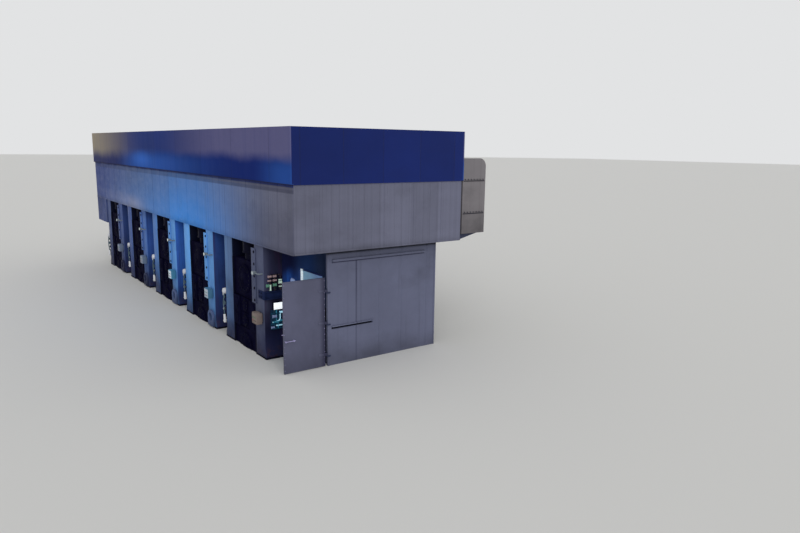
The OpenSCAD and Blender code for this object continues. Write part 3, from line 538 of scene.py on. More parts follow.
def roll_finish(name, rough):
    """Ground roll steel with fine rings round the barrel and an oil film."""
    finish = Finish(name, "steel", metal=1.0)
    rings = finish.noise((0.6, 60.0, 0.6), 23.0, 3.0)
    finish.tone(rings, 0.82, 1.1)
    finish.grime(0.55, 9.5, streaks=False)
    finish.roughness(rings, rough * 0.7, rough * 1.5)
    finish.bump(rings, 0.0004)
    return finish.material


def sheet_finish(name, paint, pitch, low=None, high=None):
    """Painted sheet with joints across X and dirt, darker from low up to high where these are given."""
    finish = Finish(name, paint)
    finish.tone(finish.noise((0.4, 0.4, 0.6), 25.0, 5.0), 0.9, 1.08)
    joints = finish.lines("X", pitch, 0.012, 0.21)
    finish.blend("grime", joints, 0.5)
    finish.grime(0.5, 10.5, low, high)
    finish.bump(joints, -0.004)
    return finish.coat(finish.noise(2.0, 26.0), 0.4, 0.65)


def lit_finish(name, paint, strength):
    """Wet enamel or bright sheet with painted lamp light: it shines a little by itself."""
    finish = Finish(name, paint)
    finish.tone(finish.noise(1.2, 27.0), 0.86, 1.06)
    finish.glow(strength)
    return finish.material


def lens_finish():
    """The work lamps' lenses, dimmest at the exit end."""
    finish = Finish("lamp_lens", "lens", rough=0.3)
    finish.blend("lamp", finish.ramp("X", LAMP_X, LAMP_X + 4.0, 0.0, 0.75))
    finish.tone(finish.noise(9.0, 40.0, 3.0), 0.9, 1.06)
    finish.glow(0.4)
    return finish.material


def screen_finish():
    """Pale sheet with painted lamp light that shines a little by itself, a dark head and a painted bright
    edge by the stand.
    """
    low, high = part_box("exit_screen")
    finish = Finish("screen_sheet", "screen", 0.1)
    finish.blend("screen_dark", finish.ramp("X", low.x + 0.1, low.x + 1.4))
    finish.blend("guard", finish.above(high.z - 0.035, 0.01))
    finish.tone(finish.noise(2.2, 27.0), 0.86, 1.1)
    finish.grime(0.3, 12.5, 0.0, 0.8)
    finish.blend("screen_edge", finish.ramp("X", low.x + 0.14, low.x + 0.18, 1.0, 0.0))
    finish.glow(0.3)
    finish.roughness(finish.noise(3.0, 28.0), 0.4, 0.6)
    return finish.material


def guard_finish():
    """Wet sheet, dark as painted shade, with painted lamp light beyond the operator side's housing and one
    painted bright reflection.
    """
    low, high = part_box("mist_guards")
    wall_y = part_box("exit_wall")[0].y
    screen_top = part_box("exit_screen")[1].z
    finish = Finish("guard_sheet", "guard", 0.1)
    finish.blend("guard_lit", finish.ramp("Y", low.y + 0.3, low.y + 0.9))
    finish.blend("bracket", finish.ramp("Y", wall_y + 0.3, wall_y + 0.85, 0.0, 0.8))
    finish.tone(finish.noise((1.4, 1.4, 0.8), 29.0, 5.0), 0.84, 1.14)
    finish.grime(0.4, 13.5)
    runs = finish.ramp(finish.noise((7.0, 7.0, 1.2), 37.0), 0.3, 0.65, 0.35, 1.0)
    # A painted patch of blue lamp light and one painted reflection.
    patch = finish.spot((high.x, low.y + 0.27, screen_top - 0.34), (1.0, 0.4, 0.55))
    finish.blend("bay_glow", patch, runs, 0.55)
    glint = finish.spot((high.x, low.y + 0.38, screen_top - 0.42), (1.0, 0.15, 0.22))
    finish.blend("glint", finish.ramp(finish.times(glint, runs), 0.12, 0.3))
    # Painted shade along the head, under the hood.
    finish.blend("dark", finish.above(high.z - 0.16, 0.06))
    return finish.coat(finish.noise((3.0, 3.0, 1.0), 30.0), 0.3, 0.6)


def box_finish(name, paint):
    """Enamel of the control boxes, in its own paint where the bay lamps reach, with painted shade at both
    ends.
    """
    finish = Finish(name, paint, 0.1)
    finish.blend("housing", finish.ramp("X", BAY_LAMP_X, BAY_LAMP_X + 6.0, 0.0, 0.45))
    finish.blend("box_dull", finish.ramp("X", BAY_LAMP_X + 5.0, BAY_LAMP_X + 7.0))
    finish.blend("box_far", finish.ramp("X", -4.0, BAY_LAMP_X - 1.0, 0.85, 0.0))
    finish.tone(finish.noise(3.0, 34.0, 5.0), 0.88, 1.08)
    finish.grime(0.4, 14.5)
    return finish.coat(finish.noise(5.0, 35.0), 0.35, 0.6, FINE_GRAIN)


def bracket_finish():
    """Worn enamel of the ring brackets, in painted shade towards the entry end."""
    finish = Finish("bracket_enamel", "bracket", 0.06)
    finish.blend("shade", finish.ramp("X", -5.0, BAY_LAMP_X, 0.95, 0.0))
    finish.tone(finish.noise(3.0, 38.0, 5.0), 0.8, 1.15)
    finish.grime(0.7, 15.5, 0.0, 0.6)
    return finish.coat(finish.noise(5.0, 39.0), 0.4, 0.7)


def wall_finish():
    """Blue-grey sheet, shaded under the hood and under the track along its head."""
    low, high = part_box("exit_wall")
    track_low, track_high = max(solids("exit_trim"), key=lambda box: box[0].z)
    joint = low.y + WALL_SEAMS[0]
    finish = Finish("wall_sheet", "wall")
    finish.tone(finish.noise((0.4, 0.4, 0.6), 25.0, 5.0), 0.9, 1.08)
    finish.grime(0.4, 10.5, low.z, low.z + 0.9)
    finish.blend("shade", finish.hump("Y", joint - 0.05, joint, joint + 0.05),
                 finish.ramp("Z", 1.6, 3.0, 0.4, 0.75), finish.below(track_low.z, 0.01))
    finish.blend("dark", finish.above(high.z - 0.2, 0.07), 0.92)
    finish.blend("shade",
                 finish.hump("Z", track_low.z - 0.065, track_low.z - 0.02, track_low.z + 0.005),
                 finish.ramp("Y", track_low.y - 0.02, track_low.y),
                 finish.ramp("Y", track_high.y, track_high.y + 0.02, 1.0, 0.0))
    return finish.coat(finish.noise(2.0, 26.0), 0.4, 0.65)


def door_finish():
    """Blue-grey enamel, shaded beside the hinges and dirty at the foot."""
    hinge_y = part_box("door_sheet")[1].y
    finish = Finish("door_enamel", "door")
    finish.tone(finish.noise((1.6, 1.6, 1.0), 21.0, 5.0), 0.88, 1.08)
    finish.grime(0.45, 8.5, 0.0, 0.8)
    finish.blend("shade", finish.ramp("Y", hinge_y - 0.24, hinge_y - 0.02, 0.0, 0.8))
    return finish.coat(finish.noise(3.4, 22.0), 0.34, 0.6)


def node_finishes():
    """Each finish, with the CAD nodes that wear it."""
    duct_low, duct_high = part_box("exhaust_plenum")
    duct_middle = (duct_low.z + duct_high.z) / 2
    return (
        (belt_finish("belt_long", "operator_belt", "X", True), ["operator_belt", "entry_skirt"]),
        (belt_finish("belt_back", "drive_belt", "X", False), ["drive_belt"]),
        (belt_finish("belt_end", "exit_belt", "Y", False), ["exit_belt", "entry_belt"]),
        (end_fascia_finish(), ["exit_fascia", "entry_fascia"]),
        (long_fascia_finish(), ["operator_fascia", "drive_fascia"]),
        (housing_finish(), ["operator_housings", "drive_housings", "keeper_plates"]),
        # Chocks and blocks: dark oily castings, near black as painted shade in the housings' windows.
        (casting_finish("chock_casting", "chock", 0.003, 0.1),
         ["upper_backup_chocks", "lower_backup_chocks", "upper_work_chocks", "lower_work_chocks",
          "chock_covers"]),
        (casting_finish("block_enamel", "block", 0.003, 0.1),
         ["project_blocks", "housing_separators", "hose_manifolds"]),
        (casting_finish("dark_steel", "dark", 0.03, 0.2),
         ["sole_plates", "window_liners", "roll_force_cylinders", "strip_tables"]),
        (roll_finish("backup_roll_steel", 0.34), ["upper_backup_rolls", "lower_backup_rolls"]),
        (roll_finish("work_roll_steel", 0.2), ["upper_work_rolls", "lower_work_rolls", "tension_rolls"]),
        (enamel_finish("pipe_enamel", "teal", 0.3, 0.5), ["coolant_headers", "exit_side_piping"]),
        (box_finish("box_enamel", "box_side"), ["control_boxes"]),
        (enamel_finish("lamp_enamel", "lamp", 0.4, 0.35), ["work_lamps"]),
        (bracket_finish(), ["ring_brackets"]),
        (screen_finish(), ["exit_screen"]),
        (guard_finish(), ["mist_guards"]),
        (sheet_finish("roof_sheet", "dark", 3.0), ["hood_roof"]),
        (enamel_finish("frame_paint", "frame", 0.5, 0.5),
         ["hood_frame", "hood_girders", "drive_columns", "plenum_brackets"]),
        (wall_finish(), ["exit_wall", "entry_wall", "exit_trim", "entry_trim"]),
        # Darker towards the bottom, from the duct's foot to its middle.
        (sheet_finish("duct_sheet", "duct", 2.2, duct_low.z, duct_middle),
         ["exhaust_plenum", "plenum_collars"]),
        (casting_finish("hinge_steel", "frame"), ["door_pins"]),
        (door_finish(), ["door_sheet", "door_frame", "door_knuckles"]),
        (casting_finish("handle_metal", "handle"), ["door_handle"]),
    )


# Places and meshes

def spread(low, high, count):
    """Places from low to high, evenly spaced."""
    return [low + (high - low) * i / (count - 1) for i in range(count)]


def middles(low, high, count):
    """The middle of each of count equal stretches from low to high."""
    half = (high - low) / count / 2
    return spread(low + half, high - half, count)


def linked(name, data):
    """A new object in the scene."""
    item = bpy.data.objects.new(name, data)
    bpy.context.scene.collection.objects.link(item)
    return item


def settle(piece):
    """Keeps what the piece's modifiers make as its plain mesh."""
    plain = bpy.data.meshes.new_from_object(piece.evaluated_get(bpy.context.evaluated_depsgraph_get()))
    piece.modifiers.clear()
    piece.data = plain


class Shape:
    """A mesh in the making, in metres, with its place in its points."""

    def __init__(self):
        self.bm = bmesh.new()

    def block(self, low, high):
        """A block between two corners."""
        made = bmesh.ops.create_cube(self.bm, size=1.0)["verts"]
        low, high = Vector(low), Vector(high)
        for vertex in made:
            vertex.co = Vector([c * s for c, s in zip(vertex.co, high - low)]) + (low + high) / 2
        return self

    def rod(self, start, end, radius, sides=20, tip=None):
        """A round bar; tip is its radius at the far end."""
        start, end = Vector(start), Vector(end)
        turn = (end - start).to_track_quat("Z", "Y").to_matrix().to_4x4()
        bmesh.ops.create_cone(self.bm, cap_ends=True, segments=sides, radius1=radius,
                              radius2=radius if tip is None else tip, depth=(end - start).length,
                              matrix=Matrix.Translation((start + end) / 2) @ turn)

    def circle(self, centre, side, other, radius, sides):
        """Vertices round a centre, in the plane of two directions."""
        turns = [2 * math.pi * i / sides for i in range(sides)]
        spokes = [side * math.cos(turn) + other * math.sin(turn) for turn in turns]
        return [self.bm.verts.new(centre + radius * spoke) for spoke in spokes]

    def skin(self, circles):
        """Faces between each circle and the next."""
        for a, b in zip(circles, circles[1:]):
            for i in range(len(a)):
                j = (i + 1) % len(a)
                self.bm.faces.new((a[i], a[j], b[j], b[i]))

    def ring(self, centre, axis, outer, inner, thickness, sides=20):
        """A flat ring, square in section."""
        side, other, ahead = Vector(axis).to_track_quat("Z", "Y").to_matrix().col
        circles = [self.circle(Vector(centre) + ahead * height * thickness, side, other, radius, sides)
                   for radius, height in ((outer, -0.5), (outer, 0.5), (inner, 0.5), (inner, -0.5))]
        self.skin(circles + circles[:1])

    def pipe(self, points, radius, bend, sides=12):
        """A round pipe through points, with its corners bent to a radius."""
        path = bent(points, bend)
        side = Vector((0, 0, 1)) if abs((path[1] - path[0]).normalized().z) < 0.9 else Vector((1, 0, 0))
        circles = []
        for i, point in enumerate(path):
            ahead = (path[min(i + 1, len(path) - 1)] - path[max(i - 1, 0)]).normalized()
            side = (side - ahead * side.dot(ahead)).normalized()
            circles.append(self.circle(point, side, ahead.cross(side), radius, sides))
        self.skin(circles)
        self.bm.faces.new(circles[0][::-1])
        self.bm.faces.new(circles[-1])

    def finish(self, name, material, bevel, slot, body=MILL):
        """The piece, with its edges rounded, its material and on its body; slot is not used."""
        bmesh.ops.recalc_face_normals(self.bm, faces=self.bm.faces)
        mesh = bpy.data.meshes.new(name)
        self.bm.to_mesh(mesh)
        self.bm.free()
        return ride(dressed(name, mesh, material, bevel), body)


def bent(points, bend, steps=5):
    """The points of a path whose inner corners are rounded to a radius."""
    points = [Vector(p) for p in points]
    path = [points[0]]
    for before, corner, after in zip(points, points[1:], points[2:]):
        reach = min(bend, (corner - before).length * 0.45, (after - corner).length * 0.45)
        start = corner + (before - corner).normalized() * reach
        end = corner + (after - corner).normalized() * reach
        for i in range(steps + 1):
            t = i / steps
            path.append(start * (1 - t) ** 2 + corner * 2 * t * (1 - t) + end * t * t)
    path.append(points[-1])
    return path


def dressed(name, mesh, material, bevel):
    """A linked object with one material, rounded edges and smooth round faces."""
    piece = linked(name, mesh)
    mesh.materials.clear()
    mesh.materials.append(material)
    if bevel:
        rounding = piece.modifiers.new("edges", "BEVEL")
        rounding.width = bevel
        rounding.segments = 2
        rounding.limit_method = "ANGLE"
        rounding.angle_limit = math.radians(40)
        settle(piece)
    for face in piece.data.polygons:
        face.use_smooth = True
    piece.data.set_sharp_from_angle(angle=math.radians(32))
    return piece


def ride(piece, body):
    """Ties a finished piece to its body."""
    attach(piece, body)
    return piece


def finish_of(node):
    """The material that a CAD node wears."""
    return NODES[node].data.materials[0]


def merged(node):
    """A CAD node's mesh with its loose triangles joined."""
    bm = bmesh.new()
    bm.from_mesh(NODES[node].data)
    bmesh.ops.remove_doubles(bm, verts=bm.verts, dist=0.00002)
    return bm


def solids(node):
    """The box of each separate solid in a CAD node, in order along X."""
    bm = merged(node)
    boxes, seen = [], set()
    for seed in bm.verts:
        if seed in seen:
            continue
        group, queue = [], [seed]
        seen.add(seed)
        while queue:
            vertex = queue.pop()
            group.append(vertex.co.copy())
            for edge in vertex.link_edges:
                other = edge.other_vert(vertex)
                if other not in seen:
                    seen.add(other)
                    queue.append(other)
        low = Vector([min(c[i] for c in group) for i in range(3)])
        high = Vector([max(c[i] for c in group) for i in range(3)])
        boxes.append((low, high))
    bm.free()
    return sorted(boxes, key=lambda box: (round(box[0].x, 3), box[0].y, box[0].z))


def softened(node, bevel, body=MILL):
    """A copy of a CAD node with rounded edges, which stands for the node."""
    bm = merged(node)
    bmesh.ops.dissolve_limit(bm, angle_limit=math.radians(1), verts=bm.verts, edges=bm.edges)
    mesh = bpy.data.meshes.new(node + "_piece")
    bm.to_mesh(mesh)
    bm.free()
    piece = dressed(node + "_piece", mesh, finish_of(node), bevel)
    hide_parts(node)
    return ride(piece, body)


# Geometry Nodes

class Tree:
    """A Geometry Nodes group in the making, with named inputs."""

    def __init__(self, name):
        self.group = bpy.data.node_groups.new(name, "GeometryNodeTree")
        self.group.interface.new_socket("Geometry", in_out="OUTPUT", socket_type="NodeSocketGeometry")
        self.group.interface.new_socket("Geometry", in_out="INPUT", socket_type="NodeSocketGeometry")
        self.start = self.group.nodes.new("NodeGroupInput")
        self.end = self.group.nodes.new("NodeGroupOutput")

    def input(self, name, kind, default=None):
        """A named input of the group."""
        socket = self.group.interface.new_socket(name, in_out="INPUT", socket_type="NodeSocket" + kind)
        if default is not None:
            socket.default_value = default
        return self.start.outputs[name]

    def add(self, kind, **links):
        """A new node, with its inputs linked or set by name."""
        node = self.group.nodes.new(kind)
        for name, value in links.items():
            socket = node.inputs[name.replace("_", " ")]
            if isinstance(value, bpy.types.NodeSocket):
                self.group.links.new(value, socket)
            else:
                socket.default_value = value
        return node

    def scaled(self, value, factor):
        """A value times a factor."""
        node = self.group.nodes.new("ShaderNodeMath")
        node.operation = "MULTIPLY"
        self.group.links.new(value, node.inputs[0])
        node.inputs[1].default_value = factor
        return node.outputs[0]

    def close(self, geometry, material):
        """Ends in Realize Instances and Set Material."""
        real = self.add("GeometryNodeRealizeInstances", Geometry=geometry)
        painted = self.add("GeometryNodeSetMaterial", Geometry=real.outputs[0], Material=material)
        self.group.links.new(painted.outputs[0], self.end.inputs[0])


def fastener_tree():
    """A bolt head on each point of a mesh, with a flat washer under it."""
    tree = Tree("fasteners")
    radius = tree.input("Radius", "Float", 0.03)
    height = tree.input("Height", "Float", 0.02)
    turn = tree.input("Turn", "Rotation")
    material = tree.input("Finish", "Material")
    head = tree.add("GeometryNodeMeshCylinder", Vertices=6, Radius=radius, Depth=height)
    washer = tree.add("GeometryNodeMeshCylinder", Vertices=12, Radius=tree.scaled(radius, 1.35),
                      Depth=tree.scaled(height, 0.3))
    both = tree.add("GeometryNodeJoinGeometry")
    for piece in (head, washer):
        tree.group.links.new(piece.outputs["Mesh"], both.inputs[0])
    placed = tree.add("GeometryNodeInstanceOnPoints", Points=tree.start.outputs["Geometry"],
                      Instance=both.outputs[0], Rotation=turn)
    tree.close(placed.outputs[0], material)


def rib_tree():
    """A row of straight ribs, each a block, one step apart."""
    tree = Tree("ribs")
    count = tree.input("Count", "Int", 10)
    first = tree.input("First", "Vector", (0, 0, 0))
    step = tree.input("Step", "Vector", (1, 0, 0))
    size = tree.input("Size", "Vector", (0.03, 0.01, 1))
    material = tree.input("Finish", "Material")
    row = tree.add("GeometryNodeMeshLine", Count=count, Offset=step, Start_Location=first)
    rib = tree.add("GeometryNodeMeshCube", Size=size)
    placed = tree.add("GeometryNodeInstanceOnPoints", Points=row.outputs[0], Instance=rib.outputs["Mesh"])
    tree.close(placed.outputs[0], material)


def grown(name, tree, points, values, body):
    """Runs a node group on points, and keeps the result as a plain piece."""
    mesh = bpy.data.meshes.new(name)
    mesh.from_pydata([tuple(p) for p in points], [], [])
    piece = linked(name, mesh)
    growth = piece.modifiers.new("growth", "NODES")
    growth.node_group = bpy.data.node_groups[tree]
    for socket in growth.node_group.interface.items_tree:
        if socket.in_out == "INPUT" and socket.name in values:
            growth[socket.identifier] = values[socket.name]
    settle(piece)
    return ride(piece, body)


FACING = {
    "-Y": (math.radians(90), 0, 0), "+Y": (math.radians(-90), 0, 0),
    "+X": (0, math.radians(90), 0), "-X": (0, math.radians(-90), 0), "+Z": (0, 0, 0),
}


def fastened(name, points, facing, radius, height, like="window_liners", body=MILL):
    """Bolt heads at points, with their axes along facing and a CAD node's finish."""
    return grown(name, "fasteners", points,
                 {"Radius": radius, "Height": height, "Turn": FACING[facing], "Finish": finish_of(like)},
                 body)


def ribbed(name, count, first, step, size, like):
    """A row of ribs with a CAD node's finish."""
    return grown(name, "ribs", [(0, 0, 0)],
                 {"Count": count, "First": first, "Step": step, "Size": size, "Finish": finish_of(like)},
                 MILL)


# Operators

class MillStep:
    """What each step in dressing the mill has."""
    bl_options = {"REGISTER", "UNDO"}


class MILL_OT_finishes(MillStep, bpy.types.Operator):
    """Gives every CAD node its finish and builds the shared node groups"""
    bl_idname = "mill.finishes"
    bl_label = "Finishes"

    def execute(self, context):
        for material, nodes in node_finishes():
            for node in nodes:
                NODES[node].data.materials.clear()
                NODES[node].data.materials.append(material)
        fastener_tree()
        rib_tree()
        return {"FINISHED"}


class MILL_OT_belts(MillStep, bpy.types.Operator):
    """Standing seams and drip edges on the hood's belts"""
    bl_idname = "mill.belts"
    bl_label = "Belts"

    # The drip edge's reach over and under the belt's foot, and out from its face
    EDGE_UP, EDGE_DOWN, EDGE_OUT = 0.055, 0.004, 0.014
    # The closing sheet's thickness, its laps over the skirt and the post, and its screws
    SHEET, SKIRT_LAP, POST_LAP, SCREWS = 0.012, 0.02, 0.04, 6

    def execute(self, context):
        for node, along, out in (("operator_belt", 0, -1), ("drive_belt", 0, 1),
                                 ("exit_belt", 1, 1), ("entry_belt", 1, -1)):
            self.seams(node, along, out)
        self.skirt_closer()
        return {"FINISHED"}

    def seams(self, node, along, out):
        """Seams and a drip edge; along is the axis the belt runs on, and out the way it faces."""
        sizes = settings().sizes
        low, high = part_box(node)
        across = 1 - along
        face = high[across] if out > 0 else low[across]
        count = int((high[along] - low[along]) / sizes.seam_pitch)
        first = (low + high) / 2
        first[along] -= (count - 1) * sizes.seam_pitch / 2
        first[across] = face + out * sizes.seam_height / 2
        step = Vector((0, 0, 0))
        step[along] = sizes.seam_pitch
        size = Vector((0, 0, high.z - low.z))
        size[along] = sizes.seam_width
        size[across] = sizes.seam_height
        ribbed(node + "_seams", count, first, step, size, node)
        edge_low, edge_high = low.copy(), high.copy()
        edge_low.z, edge_high.z = low.z - self.EDGE_DOWN, low.z + self.EDGE_UP
        edge_low[across], edge_high[across] = sorted((face, face + out * self.EDGE_OUT))
        edge = Shape().block(edge_low, edge_high)
        edge.finish(node + "_drip_edge", finish_of(node), 0.004, "belt_paint")

    def skirt_closer(self):
        """The sheet between the entry skirt and the first post."""
        low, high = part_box("entry_skirt")
        post_x, post_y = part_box("mist_guards")[0].x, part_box("operator_housings")[0].y
        back_x = post_x - self.SHEET
        sheet = Shape()
        sheet.block((high.x - self.SKIRT_LAP, low.y, low.z), (post_x, low.y + self.SHEET, high.z))
        sheet.block((back_x, low.y, low.z), (post_x, post_y, high.z))
        sheet.block((back_x, post_y - self.SHEET, low.z), (post_x + self.POST_LAP, post_y, high.z))
        sheet.finish("skirt_closer", finish_of("entry_skirt"), 0.001, "belt_paint")
        screws = [(high.x - self.SKIRT_LAP / 2, low.y, z) for z in middles(low.z, high.z, self.SCREWS)]
        fastened("skirt_closer_screws", screws, "-Y", settings().sizes.screw_radius, 0.006,
                 "entry_skirt")


class MILL_OT_roof(MillStep, bpy.types.Operator):
    """Ribs on the roof deck"""
    bl_idname = "mill.roof"
    bl_label = "Roof"

    RIB_WIDTH, RIB_HEIGHT = 0.05, 0.036

    def execute(self, context):
        pitch = settings().sizes.roof_pitch
        low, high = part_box("hood_roof")
        count = int((high.x - low.x) / pitch)
        first = (low + high) / 2
        first.x -= (count - 1) * pitch / 2
        first.z = high.z + self.RIB_HEIGHT / 2
        ribbed("roof_ribs", count, first, (pitch, 0, 0),
               (self.RIB_WIDTH, high.y - low.y, self.RIB_HEIGHT), "hood_roof")
        return {"FINISHED"}


class MILL_OT_stands(MillStep, bpy.types.Operator):
    """Rounds the housings and chocks, and bolts the plates, covers and feet"""
    bl_idname = "mill.stands"
    bl_label = "Stands"

    # How far each node's edges are rounded
    EDGES = {
        "operator_housings": 0.02, "drive_housings": 0.02, "upper_backup_chocks": 0.012,
        "upper_work_chocks": 0.012, "lower_work_chocks": 0.012, "keeper_plates": 0.006,
        "chock_covers": 0.01, "ring_brackets": 0.01,
    }
    # Distance of a plate's first and last bolt from its ends
    PLATE_END = 0.12
    # Cover bolts: radius and height, their circle's share of the cover's radius, and the rim's thickness
    COVER_BOLT, COVER_CIRCLE, RIM = 0.024, 0.84, 0.036

    def execute(self, context):
        radius = settings().sizes.bolt_radius
        for node, bevel in self.EDGES.items():
            softened(node, bevel)
        self.cover_bolts()
        points = []
        for low, high in solids("keeper_plates"):
            levels = spread(low.z + self.PLATE_END, high.z - self.PLATE_END, 5)
            points += [(high.x - 0.06, low.y - 0.01, z) for z in levels]
        fastened("keeper_bolts", points, "-Y", radius, 0.03)
        points = []
        for low, high in solids("sole_plates"):
            outer_x = low.x + 0.045 if abs(low.x) > abs(high.x) else high.x - 0.045
            places = spread(low.y + self.PLATE_END, high.y - self.PLATE_END, 3)
            points += [(outer_x, y, high.z + 0.012) for y in places]
        fastened("sole_bolts", points, "+Z", radius, 0.035)
        return {"FINISHED"}

    def cover_bolts(self):
        """A ring of bolts on every chock cover, by the side that it faces."""
        full = settings().sizes.cover_bolts
        rings = {"-Y": [], "+Y": []}
        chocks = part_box("upper_backup_chocks")
        middle = (chocks[0].y + chocks[1].y) / 2
        for low, high in solids("chock_covers"):
            radius = (high.x - low.x) / 2
            circle = radius * self.COVER_CIRCLE
            centre_x = (low.x + high.x) / 2
            centre_z = (low.z + high.z) / 2 if high.z - low.z > radius * 1.9 else high.z - radius
            facing, rim_y = ("-Y", high.y - self.RIM) if high.y < middle else ("+Y", low.y + self.RIM)
            count = full if radius > 0.3 else full // 2
            for i in range(count):
                turn = 2 * math.pi * i / count
                z = centre_z + circle * math.sin(turn)
                if z > 0.05:
                    rings[facing].append((centre_x + circle * math.cos(turn), rim_y, z))
        for name, facing in (("operator_cover_bolts", "-Y"), ("drive_cover_bolts", "+Y")):
            fastened(name, rings[facing], facing, self.COVER_BOLT, self.COVER_BOLT)


class MILL_OT_control_boxes(MillStep, bpy.types.Operator):
    """Control boxes with a door, buttons and a conduit"""
    bl_idname = "mill.control_boxes"
    bl_label = "Control boxes"

    # Depths of the door before a case and the bracket behind it, and the case's rim round the door
    DOOR, BRACKET, RIM = 0.012, 0.05, 0.02
    # The lid's overhang and height, and the radius of the buttons and of the conduit
    LID_OUT, LID, ROUND = 0.004, 0.006, 0.022
    # Heights of the two rows of buttons over the case's foot
    ROWS = (0.11, 0.23)

    def execute(self, context):
        case, face = Shape(), Shape()
        buttons = {"red": Shape(), "green": Shape(), "black": Shape()}
        for low, high in solids("control_boxes"):
            back_y = high.y - self.BRACKET
            case.block((low.x, low.y + self.DOOR, low.z), (high.x, back_y, high.z))
            case.block((low.x - self.LID_OUT, low.y + 0.03, high.z),
                       (high.x + self.LID_OUT, back_y, high.z + self.LID))
            case.block((low.x + 0.06, back_y, low.z + 0.05), (high.x - 0.06, high.y, high.z - 0.05))
            face.block((low.x + self.RIM, low.y + 0.002, low.z + self.RIM),
                       (high.x - self.RIM, low.y + 0.014, high.z - self.RIM))
            conduit = Vector((low.x + 0.1, low.y + 0.12, low.z))
            case.rod(conduit, conduit - Vector((0, 0, 0.05)), self.ROUND)
            for row, up in enumerate(self.ROWS):
                z = low.z + up
                for column, x in enumerate(spread(low.x + 0.08, high.x - 0.08, 4)):
                    kind = "green" if row else "black" if column else "red"
                    buttons[kind].rod((x, low.y + 0.004, z), (x, low.y, z), self.ROUND, 16)
        piece = case.finish("control_box_cases", finish_of("control_boxes"), 0.008, "box_enamel")
        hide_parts("control_boxes")
        face.finish("control_box_doors", box_finish("box_door_enamel", "box"), 0.003, "box_enamel")
        for kind, shape in buttons.items():
            cap = enamel_finish(f"button_{kind}", "button_" + kind, 0.35, 0.2)
            shape.finish(f"control_buttons_{kind}", cap, 0.001, "box_enamel")
        return {"FINISHED"}


class MILL_OT_work_lamps(MillStep, bpy.types.Operator):
    """Work lamps on arms before the posts, with lit lenses"""
    bl_idname = "mill.work_lamps"
    bl_label = "Work lamps"

    # The arm's radius, and the lens's and the cone's back's share of the head's radius
    ARM, LENS, BACK = 0.022, 0.84, 0.62

    def execute(self, context):
        shell, lens = Shape(), Shape()
        for low, high in solids("work_lamps"):
            z = (low.z + high.z) / 2
            radius = (high.z - low.z) / 2
            head_x, arm_y, end_x = low.x + radius, low.y + radius, high.x - 0.03
            glass = radius * self.LENS
            shell.rod((head_x, low.y + 0.02, z), (head_x, low.y + radius * 2, z), radius, 24,
                      radius * self.BACK)
            shell.ring((head_x, low.y + 0.013, z), (0, 1, 0), radius, glass, 0.026, 32)
            lens.rod((head_x, low.y + 0.012, z), (head_x, low.y + 0.022, z), glass, 24)
            shell.pipe([(head_x, arm_y, z), (end_x, arm_y, z), (end_x, high.y, z)], self.ARM, 0.06)
            shell.ring((end_x, high.y - 0.008, z), (0, 1, 0), 0.03, 0.01, 0.016)
        piece = shell.finish("work_lamp_shells", finish_of("work_lamps"), 0.003, "lamp_metal")
        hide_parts("work_lamps")
        lens.finish("work_lamp_lenses", lens_finish(), 0.0, "lamp_metal")
        return {"FINISHED"}


class MILL_OT_hose_manifolds(MillStep, bpy.types.Operator):
    """Hose manifolds with pale couplings and short hoses between them"""
    bl_idname = "mill.hose_manifolds"
    bl_label = "Hose manifolds"

    COUPLINGS = 6
    # How far the couplings stand before the block, how far they reach into it, and a hose's radius
    PROUD, INTO, HOSE = 0.02, 0.06, 0.022

    def execute(self, context):
        pale = enamel_finish("coupling_enamel", "cream", 0.35, 0.25)
        grey = enamel_finish("hose_rubber", "hose", 0.5, 0.4)
        softened("hose_manifolds", 0.006)
        caps, hoses = Shape(), Shape()
        for low, high in solids("hose_manifolds"):
            x = (low.x + high.x) / 2
            level = middles(low.z, high.z, self.COUPLINGS)
            face = low.y - self.PROUD
            inside = low.y + self.INTO
            caps.rod((x, face - 0.03, level[5]), (x, inside, level[5]), 0.105, 24, 0.12)
            caps.ring((x, face - 0.035, level[5]), (0, 1, 0), 0.075, 0.045, 0.02, 24)
            caps.block((x - 0.012, face - 0.05, level[5] - 0.17), (x + 0.012, face - 0.03, level[5] - 0.05))
            hoses.rod((x, face, level[4]), (x, inside, level[4]), 0.052)
            hoses.ring((x, face, level[3]), (0, 1, 0), 0.085, 0.045, 0.04)
            caps.rod((x - 0.05, face - 0.02, level[2]), (x - 0.05, inside, level[2]), 0.05)
            caps.rod((x + 0.03, face, level[0] - 0.06), (x - 0.01, face, level[1] + 0.02), 0.06, 20, 0.048)
            caps.ring((x + 0.02, face, level[0] + 0.02), (-0.04, 0, 0.3), 0.075, 0.05, 0.03)
            hoses.pipe([(x, face, level[5] - 0.08), (x + 0.06, face - 0.03, level[4]),
                        (x - 0.04, face - 0.03, level[3]), (x + 0.04, face - 0.03, level[2]),
                        (x - 0.01, face, level[1])], self.HOSE, 0.12)
        caps.finish("hose_couplings", pale, 0.004, "manifold_paint")
        hoses.finish("hose_links", grey, 0.002, "manifold_paint")
        return {"FINISHED"}


